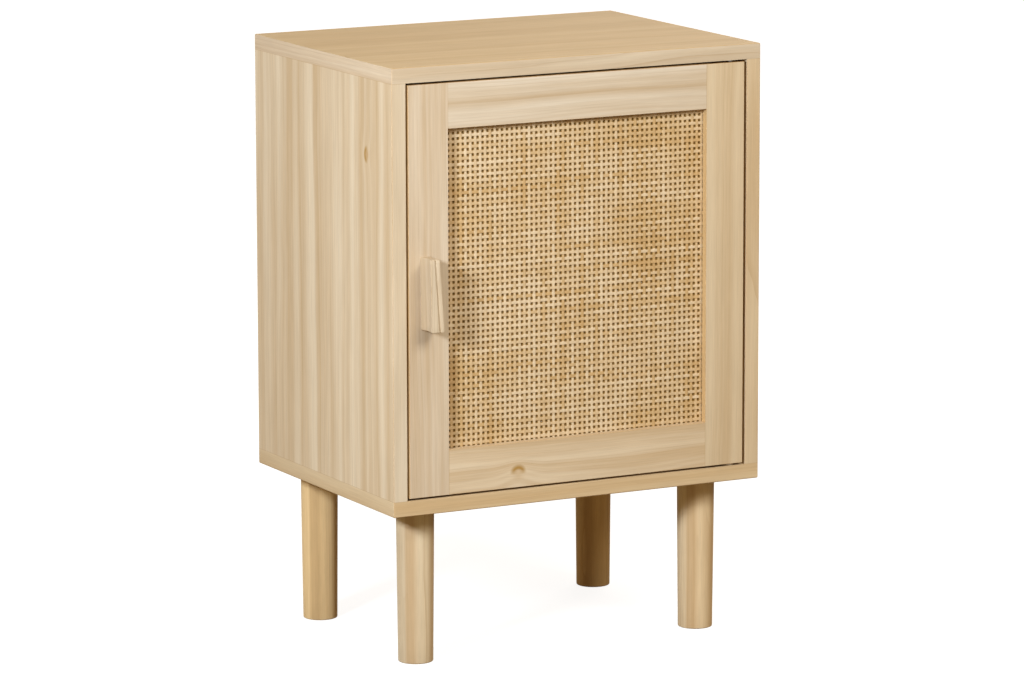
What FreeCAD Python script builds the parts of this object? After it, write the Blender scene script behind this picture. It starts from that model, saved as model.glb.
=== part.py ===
import FreeCAD, Part
import os
import Sketcher

# A wooden side table: a cabinet on four turned legs, with one inset door of woven cane.
# The origin lies on the floor, at the middle of the footprint with the handle included.
# The door faces -Y, +X is to the right of someone facing it, and +Z is up.

doc = FreeCAD.newDocument("side_table")
sheet = doc.addObject("Spreadsheet::Sheet", "dims")

driving = {
    # cabinet boards
    "cabinet_width": 400,
    "cabinet_depth": 300,
    "cabinet_height": 430,
    "board": 15,
    "arris": 1.2,
    # back panel, let into a rebate all round the opening
    "back_thickness": 4,
    "back_lap": 7,
    "back_clearance": 0.5,
    "nail_diameter": 1.6,
    "nail_length": 20,
    "nail_head_diameter": 4,
    "nail_head_height": 0.8,
    "nail_end_inset": 40,
    # dowels and cam fittings that join the side panels to the top and the bottom
    "fit_clearance": 0.05,
    "dowel_diameter": 8,
    "dowel_panel_depth": 10,
    "dowel_side_depth": 20,
    "dowel_inset": 34,
    "cam_diameter": 15,
    "cam_depth": 12,
    "cam_distance": 24,
    "cam_inset": 66,
    "cam_slot_width": 2,
    "cam_slot_length": 9,
    "cam_slot_depth": 2,
    "cam_bolt_diameter": 6,
    "cam_bolt_panel_depth": 10,
    # legs
    "leg_length": 153,
    "leg_top_diameter": 37,
    "leg_foot_diameter": 34,
    "leg_foot_bevel": 1,
    "leg_inset": 45,
    "hanger_diameter": 8,
    "hanger_leg_depth": 35,
    "hanger_panel_depth": 11,
    "insert_diameter": 12,
    # door frame
    "door_thickness": 16,
    "free_gap": 2,
    "hinge_gap": 3,
    "top_gap": 2,
    "bottom_gap": 2,
    "stile_width": 42,
    "rail_width": 44,
    "door_arris": 0.6,
    "door_dowel_diameter": 6,
    "door_dowel_depth": 15,
    "door_dowel_spacing": 18,
    # cane panel and the beads behind it
    "cane_setback": 7,
    "cane_thickness": 1.2,
    "cane_lap": 8,
    "cane_clearance": 0.5,
    "cane_bar": 13,
    "bead_nail_diameter": 1.2,
    "bead_nail_grip": 4,
    "bead_nail_inset": 30,
    # pivots
    "pivot_diameter": 5,
    "pivot_edge": 12,
    "pivot_door_depth": 16,
    "pivot_panel_depth": 8,
    "bush_diameter": 8,
    "bush_depth": 9,
    "running_clearance": 0.05,
    "moving_gap": 0.3,
    "washer_diameter": 10,
    "washer_clearance": 0.4,
    # handle
    "handle_height": 70,
    "handle_projection": 22,
    "handle_top_width": 10,
    "handle_foot_width": 14,
    "handle_lean": 1,
    "handle_margin": 12,
    "handle_lift": 162,
    "handle_cove": 1.4,
    "flute_width": 5.4,
    "flute_depth": 1.6,
    "flute_wall": 0.6,
    "handle_arris": 0.5,
    "handle_screw_spacing": 40,
    # screws
    "screw_diameter": 3.5,
    "screw_head_diameter": 7,
    "screw_head_height": 2.2,
    "screw_recess_width": 0.9,
    "screw_recess_length": 4,
    "screw_recess_depth": 1.2,
    "handle_screw_length": 28,
    "catch_screw_length": 9,
    "strike_screw_length": 11,
    # magnetic catch and its strike plate
    "catch_length": 46,
    "catch_depth": 13,
    "catch_height": 15,
    "catch_inset": 56,
    "catch_screw_spacing": 34,
    "catch_ear_height": 3,
    "catch_ear_length": 12,
    "magnet_length": 18,
    "magnet_height": 8,
    "magnet_depth": 10,
    "magnet_proud": 0.5,
    "strike_length": 40,
    "strike_height": 12,
    "strike_thickness": 1.2,
    "strike_drop": 1,
    "strike_screw_spacing": 28,
}

for row, (alias, number) in enumerate(driving.items(), start=1):
    sheet.set(f"A{row}", alias)
    sheet.set(f"B{row}", str(number))
    sheet.setAlias(f"B{row}", alias)
doc.recompute()


class Length:
    # A number of millimetres that also carries the spreadsheet formula it comes from.
    def __init__(self, formula, number):
        self.formula = formula
        self.number = number

    def combine(self, sign, other, number):
        return Length(f"({self.formula} {sign} {other.formula})", number)

    def __add__(self, other):
        other = length(other)
        return self.combine("+", other, self.number + other.number)

    def __sub__(self, other):
        other = length(other)
        return self.combine("-", other, self.number - other.number)

    def __mul__(self, other):
        other = length(other)
        return self.combine("*", other, self.number * other.number)

    def __truediv__(self, other):
        other = length(other)
        return self.combine("/", other, self.number / other.number)

    def __neg__(self):
        return self * -1

    __radd__ = __add__
    __rmul__ = __mul__


def length(value):
    if isinstance(value, Length):
        return value
    return Length(repr(float(value)), float(value))


class Sizes:
    # Each driving dimension by its name, read back from the spreadsheet.
    def __getattr__(self, alias):
        return Length(f"dims.{alias}", float(sheet.get(alias)))


dim = Sizes()
nodes = []
corners = {}
up = FreeCAD.Vector(0, 0, 1)
turns = {
    "up": FreeCAD.Rotation(),
    "down": FreeCAD.Rotation(FreeCAD.Vector(1, 0, 0), 180),
    "right": FreeCAD.Rotation(up, FreeCAD.Vector(1, 0, 0)),
    "left": FreeCAD.Rotation(up, FreeCAD.Vector(-1, 0, 0)),
    "backward": FreeCAD.Rotation(up, FreeCAD.Vector(0, 1, 0)),
    "forward": FreeCAD.Rotation(up, FreeCAD.Vector(0, -1, 0)),
}


# ---- small helpers

def bind(piece, property_name, value):
    piece.setExpression(property_name, length(value).formula)


def place(piece, at, turn="up"):
    where = FreeCAD.Vector(*[length(value).number for value in at])
    piece.Placement = FreeCAD.Placement(where, turns[turn])
    for axis, value in zip("xyz", at):
        bind(piece, f"Placement.Base.{axis}", value)


def node(piece, label):
    piece.Label = label
    nodes.append(piece)
    return piece


def new_body(label):
    return node(doc.addObject("PartDesign::Body", label), label)


def new_sketch(body, role, lift=0):
    sketch = body.newObject("Sketcher::SketchObject", "sketch")
    plane = next(item for item in body.Origin.OriginFeatures if item.Role == role)
    sketch.AttachmentSupport = [(plane, "")]
    sketch.MapMode = "FlatFace"
    bind(sketch, "AttachmentOffset.Base.z", lift)
    return sketch


def pin(sketch, geometry, point, at):
    for kind, value in zip(("DistanceX", "DistanceY"), at):
        datum = length(value).number
        index = sketch.addConstraint(Sketcher.Constraint(kind, -1, 1, geometry, point, datum))
        bind(sketch, f"Constraints[{index}]", value)


def flat_point(at):
    return FreeCAD.Vector(length(at[0]).number, length(at[1]).number, 0)


def polygon(sketch, points):
    following = points[1:] + points[:1]
    sides = []
    for start, end in zip(points, following):
        sides.append(sketch.addGeometry(Part.LineSegment(flat_point(start), flat_point(end))))
    for index, side in enumerate(sides):
        next_side = sides[(index + 1) % len(sides)]
        sketch.addConstraint(Sketcher.Constraint("Coincident", side, 2, next_side, 1))
        pin(sketch, side, 1, points[index])


def circle(sketch, centre, diameter):
    radius = length(diameter) / 2
    ring = sketch.addGeometry(Part.Circle(flat_point(centre), up, radius.number))
    pin(sketch, ring, 3, centre)
    index = sketch.addConstraint(Sketcher.Constraint("Radius", ring, radius.number))
    bind(sketch, f"Constraints[{index}]", radius)


def pad(body, sketch, height):
    feature = body.newObject("PartDesign::Pad", "pad")
    feature.Profile = sketch
    bind(feature, "Length", height)
    return feature


def board(label, low, extent):
    # A rectangular board from its lowest corner, with its sketch on the body's own XY plane.
    body = new_body(label)
    sketch = new_sketch(body, "XY_Plane")
    width, depth, height = extent
    polygon(sketch, [(0, 0), (width, 0), (width, depth), (0, depth)])
    pad(body, sketch, height)
    place(body, low)
    corners[label] = (low, extent)
    return body


def pocket(body, face, depth, draw):
    # Cuts into one face of a board. The drawing function gets the sketch and a function
    # that turns a point of the whole table into the sketch's own two coordinates.
    low, extent = corners[body.Label]
    role, lift, used, reverse = {
        "bottom": ("XY_Plane", 0, (0, 1), True),
        "top": ("XY_Plane", extent[2], (0, 1), False),
        "left": ("YZ_Plane", 0, (1, 2), True),
        "right": ("YZ_Plane", extent[0], (1, 2), False),
        "front": ("XZ_Plane", 0, (0, 2), False),
        "back": ("XZ_Plane", -length(extent[1]), (0, 2), True),
    }[face]
    sketch = new_sketch(body, role, lift)

    def flatten(point):
        return tuple(length(point[axis]) - low[axis] for axis in used)

    draw(sketch, flatten)
    feature = body.newObject("PartDesign::Pocket", "pocket")
    feature.Profile = sketch
    feature.Reversed = reverse
    bind(feature, "Length", depth)
    return feature


def bores(body, face, points, diameter, depth):
    def draw(sketch, flatten):
        for point in points:
            circle(sketch, flatten(point), diameter)

    return pocket(body, face, depth, draw)


def recess(body, face, low, high, depth):
    def draw(sketch, flatten):
        (left, bottom), (right, top) = flatten(low), flatten(high)
        polygon(sketch, [(left, bottom), (right, bottom), (right, top), (left, top)])

    return pocket(body, face, depth, draw)


def repeat(body, cut_feature, columns, rows):
    # Repeats a cut along both axes of its sketch. Columns and rows are a count and a pitch.
    pattern = body.newObject("PartDesign::LinearPattern", "pattern")
    pattern.Originals = [cut_feature]
    for suffix, axis, (count, pitch) in (("", "H_Axis", columns), ("2", "V_Axis", rows)):
        setattr(pattern, f"Direction{suffix}", (cut_feature.Profile[0], [axis]))
        setattr(pattern, f"Mode{suffix}", "Extent")
        setattr(pattern, f"Occurrences{suffix}", count)
        bind(pattern, f"Length{suffix}", pitch * (count - 1))
    body.Tip = pattern
    return pattern


def on_plane(box, axis, value):
    low = (box.XMin, box.YMin, box.ZMin)[axis]
    high = (box.XMax, box.YMax, box.ZMax)[axis]
    return abs(low - value) < 1e-6 and abs(high - value) < 1e-6


def round_corners(body, radius, arrises):
    # Rounds those edges of a board that lie where two of its outer faces meet. Each arris
    # is a pair of faces, such as "front top".
    low, extent = corners[body.Label]
    doc.recompute()
    faces = {
        "left": (0, 0),
        "right": (0, length(extent[0]).number),
        "front": (1, 0),
        "back": (1, length(extent[1]).number),
        "bottom": (2, 0),
        "top": (2, length(extent[2]).number),
    }
    base = body.Tip
    chosen = []
    for index, edge in enumerate(base.Shape.Edges, start=1):
        for arris in arrises:
            first, second = arris.split()
            box = edge.BoundBox
            if on_plane(box, *faces[first]) and on_plane(box, *faces[second]):
                chosen.append(f"Edge{index}")
    fillet = body.newObject("PartDesign::Fillet", "fillet")
    fillet.Base = (base, chosen)
    bind(fillet, "Radius", radius)
    return fillet


def cylinder(diameter, height, at=(0, 0, 0), turn="up"):
    piece = doc.addObject("Part::Cylinder", "cylinder")
    bind(piece, "Radius", length(diameter) / 2)
    bind(piece, "Height", height)
    place(piece, at, turn)
    return piece


def cone(low_diameter, high_diameter, height, at=(0, 0, 0), turn="up"):
    piece = doc.addObject("Part::Cone", "cone")
    bind(piece, "Radius1", length(low_diameter) / 2)
    bind(piece, "Radius2", length(high_diameter) / 2)
    bind(piece, "Height", height)
    place(piece, at, turn)
    return piece


def box(low, extent):
    piece = doc.addObject("Part::Box", "box")
    for side, value in zip(("Length", "Width", "Height"), extent):
        bind(piece, side, value)
    place(piece, low)
    return piece


def fuse(pieces):
    joined = doc.addObject("Part::MultiFuse", "fuse")
    joined.Shapes = pieces
    return joined


def cut(base, tool):
    piece = doc.addObject("Part::Cut", "cut")
    piece.Base = base
    piece.Tool = tool
    return piece


def group(label, pieces):
    bundle = doc.addObject("Part::Compound", label)
    bundle.Links = pieces
    return node(bundle, label)


def countersunk_screw(at, screw_length, turn):
    # A flat-headed screw with a cross recess. It stands at its head's outer face, and its
    # shank runs the way it turns to.
    head = cone(dim.screw_head_diameter, dim.screw_diameter, dim.screw_head_height)
    shank = cylinder(dim.screw_diameter, screw_length)
    arms = []
    for across, along in ((1, 0), (0, 1)):
        reach = dim.screw_recess_length * across + dim.screw_recess_width * along
        width = dim.screw_recess_length * along + dim.screw_recess_width * across
        arms.append(box((-reach / 2, -width / 2, 0), (reach, width, dim.screw_recess_depth)))
    screw = cut(fuse([head, shank]), fuse(arms))
    place(screw, at, turn)
    return screw


def spread(start, end, count):
    # Evenly spaced values from start to end, both included.
    return [start + (end - start) * (index / (count - 1)) for index in range(count)]


# ---- the planes that everything is measured from

half_width = dim.cabinet_width / 2
front = (dim.handle_projection - dim.cabinet_depth) / 2
back = (dim.handle_projection + dim.cabinet_depth) / 2
underside = dim.leg_length
summit = underside + dim.cabinet_height
inner_half_width = half_width - dim.board
cabinet_floor = underside + dim.board
cabinet_ceiling = summit - dim.board
inner_height = dim.cabinet_height - dim.board * 2
back_face = back - dim.back_thickness

door_left = -inner_half_width + dim.free_gap
door_right = inner_half_width - dim.hinge_gap
door_bottom = cabinet_floor + dim.bottom_gap
door_top = cabinet_ceiling - dim.top_gap
door_height = door_top - door_bottom
door_back = front + dim.door_thickness
pivot_x = door_right - dim.pivot_edge
pivot_y = front + dim.door_thickness / 2
sides = (-1, 1)


# ---- where the fastenings go

dowel_rows = (front + dim.dowel_inset, back - dim.dowel_inset)
cam_rows = (front + dim.cam_inset, back - dim.cam_inset)
side_middle = half_width - dim.board / 2
leg_places = {
    "leg_front_left": (-half_width + dim.leg_inset, front + dim.leg_inset),
    "leg_front_right": (half_width - dim.leg_inset, front + dim.leg_inset),
    "leg_back_left": (-half_width + dim.leg_inset, back - dim.leg_inset),
    "leg_back_right": (half_width - dim.leg_inset, back - dim.leg_inset),
}

nail_x = inner_half_width + dim.back_lap / 2
nail_low = cabinet_floor - dim.back_lap / 2
nail_high = cabinet_ceiling + dim.back_lap / 2
side_nail_count = 4
end_nail_count = 3
nail_levels = spread(cabinet_floor + dim.nail_end_inset, cabinet_ceiling - dim.nail_end_inset, side_nail_count)
nail_columns = spread(dim.nail_end_inset - inner_half_width, inner_half_width - dim.nail_end_inset, end_nail_count)
side_nails = {side: [(nail_x * side, back, level) for level in nail_levels] for side in sides}
low_nails = [(column, back, nail_low) for column in nail_columns]
high_nails = [(column, back, nail_high) for column in nail_columns]

catch_middle = -inner_half_width + dim.catch_inset + dim.catch_length / 2
catch_front = door_back + dim.strike_thickness + dim.moving_gap + dim.magnet_proud
catch_screw_y = catch_front + dim.catch_depth / 2
catch_screws_at = [
    (catch_middle + dim.catch_screw_spacing / 2 * side, catch_screw_y) for side in sides
]
strike_level = door_top - dim.strike_drop - dim.strike_height / 2
strike_screws_at = [
    (catch_middle + dim.strike_screw_spacing / 2 * side, strike_level) for side in sides
]

handle_left = door_left + dim.handle_margin
handle_bottom = door_bottom + dim.handle_lift
handle_middle = handle_left + dim.handle_lean / 2 + dim.handle_top_width / 2
handle_screws_at = [
    (handle_middle, handle_bottom + dim.handle_height / 2 + dim.handle_screw_spacing / 2 * side)
    for side in sides
]

opening_left = door_left + dim.stile_width
opening_right = door_right - dim.stile_width
opening_bottom = door_bottom + dim.rail_width
opening_top = door_top - dim.rail_width
cane_face = front + dim.cane_setback
rebate_depth = dim.door_thickness - dim.cane_setback
bead_nail_middle = dim.cane_lap / 2


# ---- cabinet boards

def drill_end_board(body, inner_face, panel_face_level, bush_level):
    # The bores that the top and the bottom share, all from their inner face.
    dowels = [(side_middle * side, row, panel_face_level) for side in sides for row in dowel_rows]
    cams = [(side_middle * side, row, panel_face_level) for side in sides for row in cam_rows]
    fit = dim.fit_clearance * 2
    bores(body, inner_face, dowels, dim.dowel_diameter + fit, dim.dowel_panel_depth)
    bores(body, inner_face, cams, dim.cam_bolt_diameter + fit, dim.cam_bolt_panel_depth)
    bores(body, inner_face, [(pivot_x, pivot_y, bush_level)], dim.bush_diameter, dim.bush_depth)


def back_rebate(body, low_x, high_x, low_z, high_z):
    recess(body, "back", (low_x, back, low_z), (high_x, back, high_z), dim.back_thickness)


def make_top():
    body = board(
        "top_panel",
        (-half_width, front, cabinet_ceiling),
        (dim.cabinet_width, dim.cabinet_depth, dim.board),
    )
    lap = inner_half_width + dim.back_lap
    back_rebate(body, -lap, lap, cabinet_ceiling, cabinet_ceiling + dim.back_lap)
    drill_end_board(body, "bottom", cabinet_ceiling, cabinet_ceiling)
    nail_pilots(body, high_nails)
    catch_pilots = [(x, y, cabinet_ceiling) for x, y in catch_screws_at]
    fit = dim.fit_clearance * 2
    depth = dim.catch_screw_length - dim.catch_ear_height
    bores(body, "bottom", catch_pilots, dim.screw_diameter + fit, depth)
    arrises = ["left top", "right top", "front top", "back top"]
    arrises += ["left front", "right front", "left back", "right back"]
    round_corners(body, dim.arris, arrises)


def make_bottom():
    body = board(
        "bottom_panel",
        (-half_width, front, underside),
        (dim.cabinet_width, dim.cabinet_depth, dim.board),
    )
    lap = inner_half_width + dim.back_lap
    back_rebate(body, -lap, lap, cabinet_floor - dim.back_lap, cabinet_floor)
    drill_end_board(body, "top", cabinet_floor, cabinet_floor)
    nail_pilots(body, low_nails)
    inserts = [(x, y, underside) for x, y in leg_places.values()]
    bores(body, "bottom", inserts, dim.insert_diameter, dim.hanger_panel_depth)
    arrises = ["left bottom", "right bottom", "front bottom", "back bottom"]
    arrises += ["left front", "right front", "left back", "right back"]
    round_corners(body, dim.arris, arrises)


def nail_pilots(body, nails):
    # The nail's bore runs from the back of the rebate, so it starts one panel deeper.
    depth = dim.nail_length
    bores(body, "back", nails, dim.nail_diameter + dim.fit_clearance * 2, depth)


def make_side(label, side):
    outer, inner = ("left", "right") if side < 0 else ("right", "left")
    low_x = -half_width if side < 0 else inner_half_width
    body = board(
        label,
        (low_x, front, cabinet_floor),
        (dim.board, dim.cabinet_depth, inner_height),
    )
    lap_near = inner_half_width * side
    lap_far = (inner_half_width + dim.back_lap) * side
    low, high = (lap_far, lap_near) if side < 0 else (lap_near, lap_far)
    back_rebate(body, low, high, cabinet_floor, cabinet_ceiling)
    fit = dim.fit_clearance * 2
    middle = side_middle * side
    for end, level in (("bottom", cabinet_floor), ("top", cabinet_ceiling)):
        dowels = [(middle, row, level) for row in dowel_rows]
        cams = [(middle, row, level) for row in cam_rows]
        bores(body, end, dowels, dim.dowel_diameter + fit, dim.dowel_side_depth)
        bores(body, end, cams, dim.cam_bolt_diameter + fit, dim.cam_distance)
    cam_levels = (cabinet_floor + dim.cam_distance, cabinet_ceiling - dim.cam_distance)
    cams = [(middle, row, level) for row in cam_rows for level in cam_levels]
    bores(body, inner, cams, dim.cam_diameter + fit, dim.cam_depth)
    nail_pilots(body, side_nails[side])
    round_corners(body, dim.arris, [f"{outer} front", f"{outer} back", f"{inner} front"])


def make_back_panel():
    lap = dim.back_lap - dim.back_clearance
    body = board(
        "back_panel",
        (-inner_half_width - lap, back_face, cabinet_floor - lap),
        ((inner_half_width + lap) * 2, dim.back_thickness, inner_height + lap * 2),
    )
    nails = side_nails[-1] + side_nails[1] + low_nails + high_nails
    fit = dim.fit_clearance * 2
    bores(body, "back", nails, dim.nail_head_diameter + fit, dim.nail_head_height)
    bores(body, "back", nails, dim.nail_diameter + fit, dim.back_thickness)


def make_nails():
    nails = []
    for at in side_nails[-1] + side_nails[1] + low_nails + high_nails:
        head = cylinder(dim.nail_head_diameter, dim.nail_head_height, at, "forward")
        shank = cylinder(dim.nail_diameter, dim.nail_length, at, "forward")
        nails.append(fuse([head, shank]))
    group("back_panel_nails", nails)


# ---- joints between the boards

def end_joints():
    # Each end of each side panel: which way the panel lies from the side, and its level.
    for side in sides:
        yield side, cabinet_floor, "up"
        yield side, cabinet_ceiling, "down"


def make_carcass_dowels():
    dowels = []
    for side, level, turn in end_joints():
        into_panel = -dim.dowel_panel_depth if turn == "up" else dim.dowel_panel_depth
        reach = dim.dowel_panel_depth + dim.dowel_side_depth
        for row in dowel_rows:
            dowels.append(cylinder(dim.dowel_diameter, reach, (side_middle * side, row, level + into_panel), turn))
    group("carcass_dowels", dowels)


def make_cam_bolts():
    bolts = []
    for side, level, turn in end_joints():
        into_panel = -dim.cam_bolt_panel_depth if turn == "up" else dim.cam_bolt_panel_depth
        reach = dim.cam_bolt_panel_depth + dim.cam_distance
        for row in cam_rows:
            bolts.append(cylinder(dim.cam_bolt_diameter, reach, (side_middle * side, row, level + into_panel), turn))
    group("cam_bolts", bolts)


def make_cam_locks():
    locks = []
    fit = dim.fit_clearance * 2
    for side, level, turn in end_joints():
        inward = 1 if turn == "up" else -1
        centre_z = level + dim.cam_distance * inward
        face = inner_half_width * side
        outward = "left" if side < 0 else "right"
        for row in cam_rows:
            disc = cylinder(dim.cam_diameter, dim.cam_depth, (face, row, centre_z), outward)
            bolt_way = cylinder(
                dim.cam_bolt_diameter + fit,
                dim.cam_distance,
                (side_middle * side, row, level),
                turn,
            )
            low_x = face - dim.cam_slot_depth if side < 0 else face
            slot = box(
                (low_x, row - dim.cam_slot_width / 2, centre_z - dim.cam_slot_length / 2),
                (dim.cam_slot_depth, dim.cam_slot_width, dim.cam_slot_length),
            )
            locks.append(cut(disc, fuse([bolt_way, slot])))
    group("cam_locks", locks)


# ---- legs

def make_leg(label, x, y):
    # A turned leg: one half outline, with the bore for its hanger bolt, spun about its axis.
    body = new_body(label)
    sketch = new_sketch(body, "XZ_Plane")
    foot = dim.leg_foot_diameter / 2
    bore = dim.hanger_diameter / 2 + dim.fit_clearance
    bore_floor = dim.leg_length - dim.hanger_leg_depth
    polygon(sketch, [
        (0, 0),
        (foot - dim.leg_foot_bevel, 0),
        (foot, dim.leg_foot_bevel),
        (dim.leg_top_diameter / 2, dim.leg_length),
        (bore, dim.leg_length),
        (bore, bore_floor),
        (0, bore_floor),
    ])
    turned = body.newObject("PartDesign::Revolution", "turned")
    turned.Profile = sketch
    turned.ReferenceAxis = (sketch, ["V_Axis"])
    turned.Angle = 360
    place(body, (x, y, 0))


def make_legs():
    bolts, inserts = [], []
    for label, (x, y) in leg_places.items():
        make_leg(label, x, y)
        bolt_low = (x, y, underside - dim.hanger_leg_depth)
        bolts.append(cylinder(dim.hanger_diameter, dim.hanger_leg_depth + dim.hanger_panel_depth, bolt_low))
        shell = cylinder(dim.insert_diameter, dim.hanger_panel_depth, (x, y, underside))
        thread = cylinder(dim.hanger_diameter + dim.fit_clearance * 2, dim.hanger_panel_depth, (x, y, underside))
        inserts.append(cut(shell, thread))
    group("leg_hanger_bolts", bolts)
    group("leg_insert_nuts", inserts)


# ---- door frame

def make_stile(label, low_x, hinge_side):
    body = board(label, (low_x, front, door_bottom), (dim.stile_width, dim.door_thickness, door_height))
    inner_face = "left" if hinge_side else "right"
    lap_low = opening_right if hinge_side else opening_left - dim.cane_lap
    recess(
        body,
        "back",
        (lap_low, door_back, opening_bottom - dim.cane_lap),
        (lap_low + dim.cane_lap, door_back, opening_top + dim.cane_lap),
        rebate_depth,
    )
    fit = dim.fit_clearance * 2
    dowels = [(low_x, pivot_y, level) for level in door_dowel_levels]
    bores(body, inner_face, dowels, dim.door_dowel_diameter + fit, dim.door_dowel_depth)
    nail_grip = dim.bead_nail_diameter + fit
    bores(body, "back", stile_bead_nails(hinge_side), nail_grip, rebate_depth + dim.bead_nail_grip)
    if hinge_side:
        for face in ("top", "bottom"):
            pivot = (pivot_x, pivot_y, door_top)
            bores(body, face, [pivot], dim.pivot_diameter + fit, dim.pivot_door_depth)
    else:
        screws = [(x, door_back, z) for x, z in handle_screws_at]
        bores(body, "back", screws, dim.screw_diameter + fit, dim.door_thickness)
        countersinks(body, screws)
    outer = "right" if hinge_side else "left"
    arrises = [f"{outer} front", f"{outer} back", "front top", "front bottom", "back top", "back bottom"]
    round_corners(body, dim.door_arris, arrises)


def countersinks(body, screws):
    # A countersunk seat is a stack of two bores that clears the screw's head.
    fit = dim.fit_clearance * 2
    bores(body, "back", screws, dim.screw_head_diameter + fit, dim.screw_head_height)


door_dowel_levels = [
    middle + dim.door_dowel_spacing / 2 * side
    for middle in (door_bottom + dim.rail_width / 2, door_top - dim.rail_width / 2)
    for side in sides
]
bead_nail_count = 3
bead_nail_levels = spread(opening_bottom + dim.bead_nail_inset, opening_top - dim.bead_nail_inset, bead_nail_count)
bead_nail_columns = spread(opening_left + dim.bead_nail_inset, opening_right - dim.bead_nail_inset, bead_nail_count)


def stile_bead_nails(hinge_side):
    x = opening_right + bead_nail_middle if hinge_side else opening_left - bead_nail_middle
    return [(x, door_back, level) for level in bead_nail_levels]


def rail_bead_nails(upper):
    z = opening_top + bead_nail_middle if upper else opening_bottom - bead_nail_middle
    return [(column, door_back, z) for column in bead_nail_columns]


def make_rail(label, low_z, upper):
    body = board(
        label,
        (opening_left, front, low_z),
        (opening_right - opening_left, dim.door_thickness, dim.rail_width),
    )
    lap_low = opening_top if upper else opening_bottom - dim.cane_lap
    recess(
        body,
        "back",
        (opening_left, door_back, lap_low),
        (opening_right, door_back, lap_low + dim.cane_lap),
        rebate_depth,
    )
    fit = dim.fit_clearance * 2
    middle = low_z + dim.rail_width / 2
    levels = [middle + dim.door_dowel_spacing / 2 * side for side in sides]
    for face in ("left", "right"):
        dowels = [(opening_left, pivot_y, level) for level in levels]
        bores(body, face, dowels, dim.door_dowel_diameter + fit, dim.door_dowel_depth)
    nail_grip = dim.bead_nail_diameter + fit
    bores(body, "back", rail_bead_nails(upper), nail_grip, rebate_depth + dim.bead_nail_grip)
    if upper:
        pilots = [(x, door_back, z) for x, z in strike_screws_at]
        depth = dim.strike_screw_length - dim.strike_thickness
        bores(body, "back", pilots, dim.screw_diameter + fit, depth)
        seat = dim.screw_head_height - dim.strike_thickness
        bores(body, "back", pilots, dim.screw_head_diameter + fit, seat)
    round_corners(body, dim.door_arris, ["front top", "front bottom"])


def make_door_dowels():
    dowels = []
    reach = dim.door_dowel_depth * 2
    for seam in (opening_left, opening_right):
        for level in door_dowel_levels:
            at = (seam - dim.door_dowel_depth, pivot_y, level)
            dowels.append(cylinder(dim.door_dowel_diameter, reach, at, "right"))
    group("door_dowels", dowels)


# ---- cane panel, beads and their nails

cane_columns = 12
cane_rows = 12


def make_cane_panel():
    # The weave is drawn as plain bars, with a grid of square-cornered openings between them.
    lap = dim.cane_lap - dim.cane_clearance
    body = board(
        "cane_panel",
        (opening_left - lap, cane_face, opening_bottom - lap),
        (
            opening_right - opening_left + lap * 2,
            dim.cane_thickness,
            opening_top - opening_bottom + lap * 2,
        ),
    )
    nails = stile_bead_nails(True) + stile_bead_nails(False)
    nails += rail_bead_nails(True) + rail_bead_nails(False)
    bores(body, "back", nails, dim.bead_nail_diameter + dim.fit_clearance * 2, dim.cane_thickness)
    column_pitch = (opening_right - opening_left) / cane_columns
    row_pitch = (opening_top - opening_bottom) / cane_rows
    low_x = opening_left + dim.cane_bar / 2
    low_z = opening_bottom + dim.cane_bar / 2
    first = recess(
        body,
        "back",
        (low_x, cane_face, low_z),
        (low_x + column_pitch - dim.cane_bar, cane_face, low_z + row_pitch - dim.cane_bar),
        dim.cane_thickness,
    )
    repeat(body, first, (cane_columns, column_pitch), (cane_rows, row_pitch))


def make_bead(label, low_x, high_x, low_z, high_z, nails):
    low_y = cane_face + dim.cane_thickness
    extent = (high_x - low_x, door_back - low_y, high_z - low_z)
    body = board(label, (low_x, low_y, low_z), extent)
    bores(body, "back", nails, dim.bead_nail_diameter + dim.fit_clearance * 2, door_back - low_y)
    round_corners(body, dim.door_arris, bead_arrises[label])


bead_arrises = {
    "bead_left": ["right back"],
    "bead_right": ["left back"],
    "bead_top": ["back bottom"],
    "bead_bottom": ["back top"],
}


def make_beads():
    # The upright beads run past the level ones, which are cut between them.
    reach = dim.cane_lap - dim.cane_clearance
    low_z = opening_bottom - reach
    high_z = opening_top + reach
    make_bead("bead_left", opening_left - reach, opening_left, low_z, high_z, stile_bead_nails(False))
    make_bead("bead_right", opening_right, opening_right + reach, low_z, high_z, stile_bead_nails(True))
    make_bead("bead_top", opening_left, opening_right, opening_top, high_z, rail_bead_nails(True))
    make_bead("bead_bottom", opening_left, opening_right, low_z, opening_bottom, rail_bead_nails(False))


def make_bead_nails():
    nails = []
    reach = rebate_depth + dim.bead_nail_grip
    places = stile_bead_nails(True) + stile_bead_nails(False)
    places += rail_bead_nails(True) + rail_bead_nails(False)
    for at in places:
        nails.append(cylinder(dim.bead_nail_diameter, reach, at, "forward"))
    group("bead_nails", nails)


# ---- pivots

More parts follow.
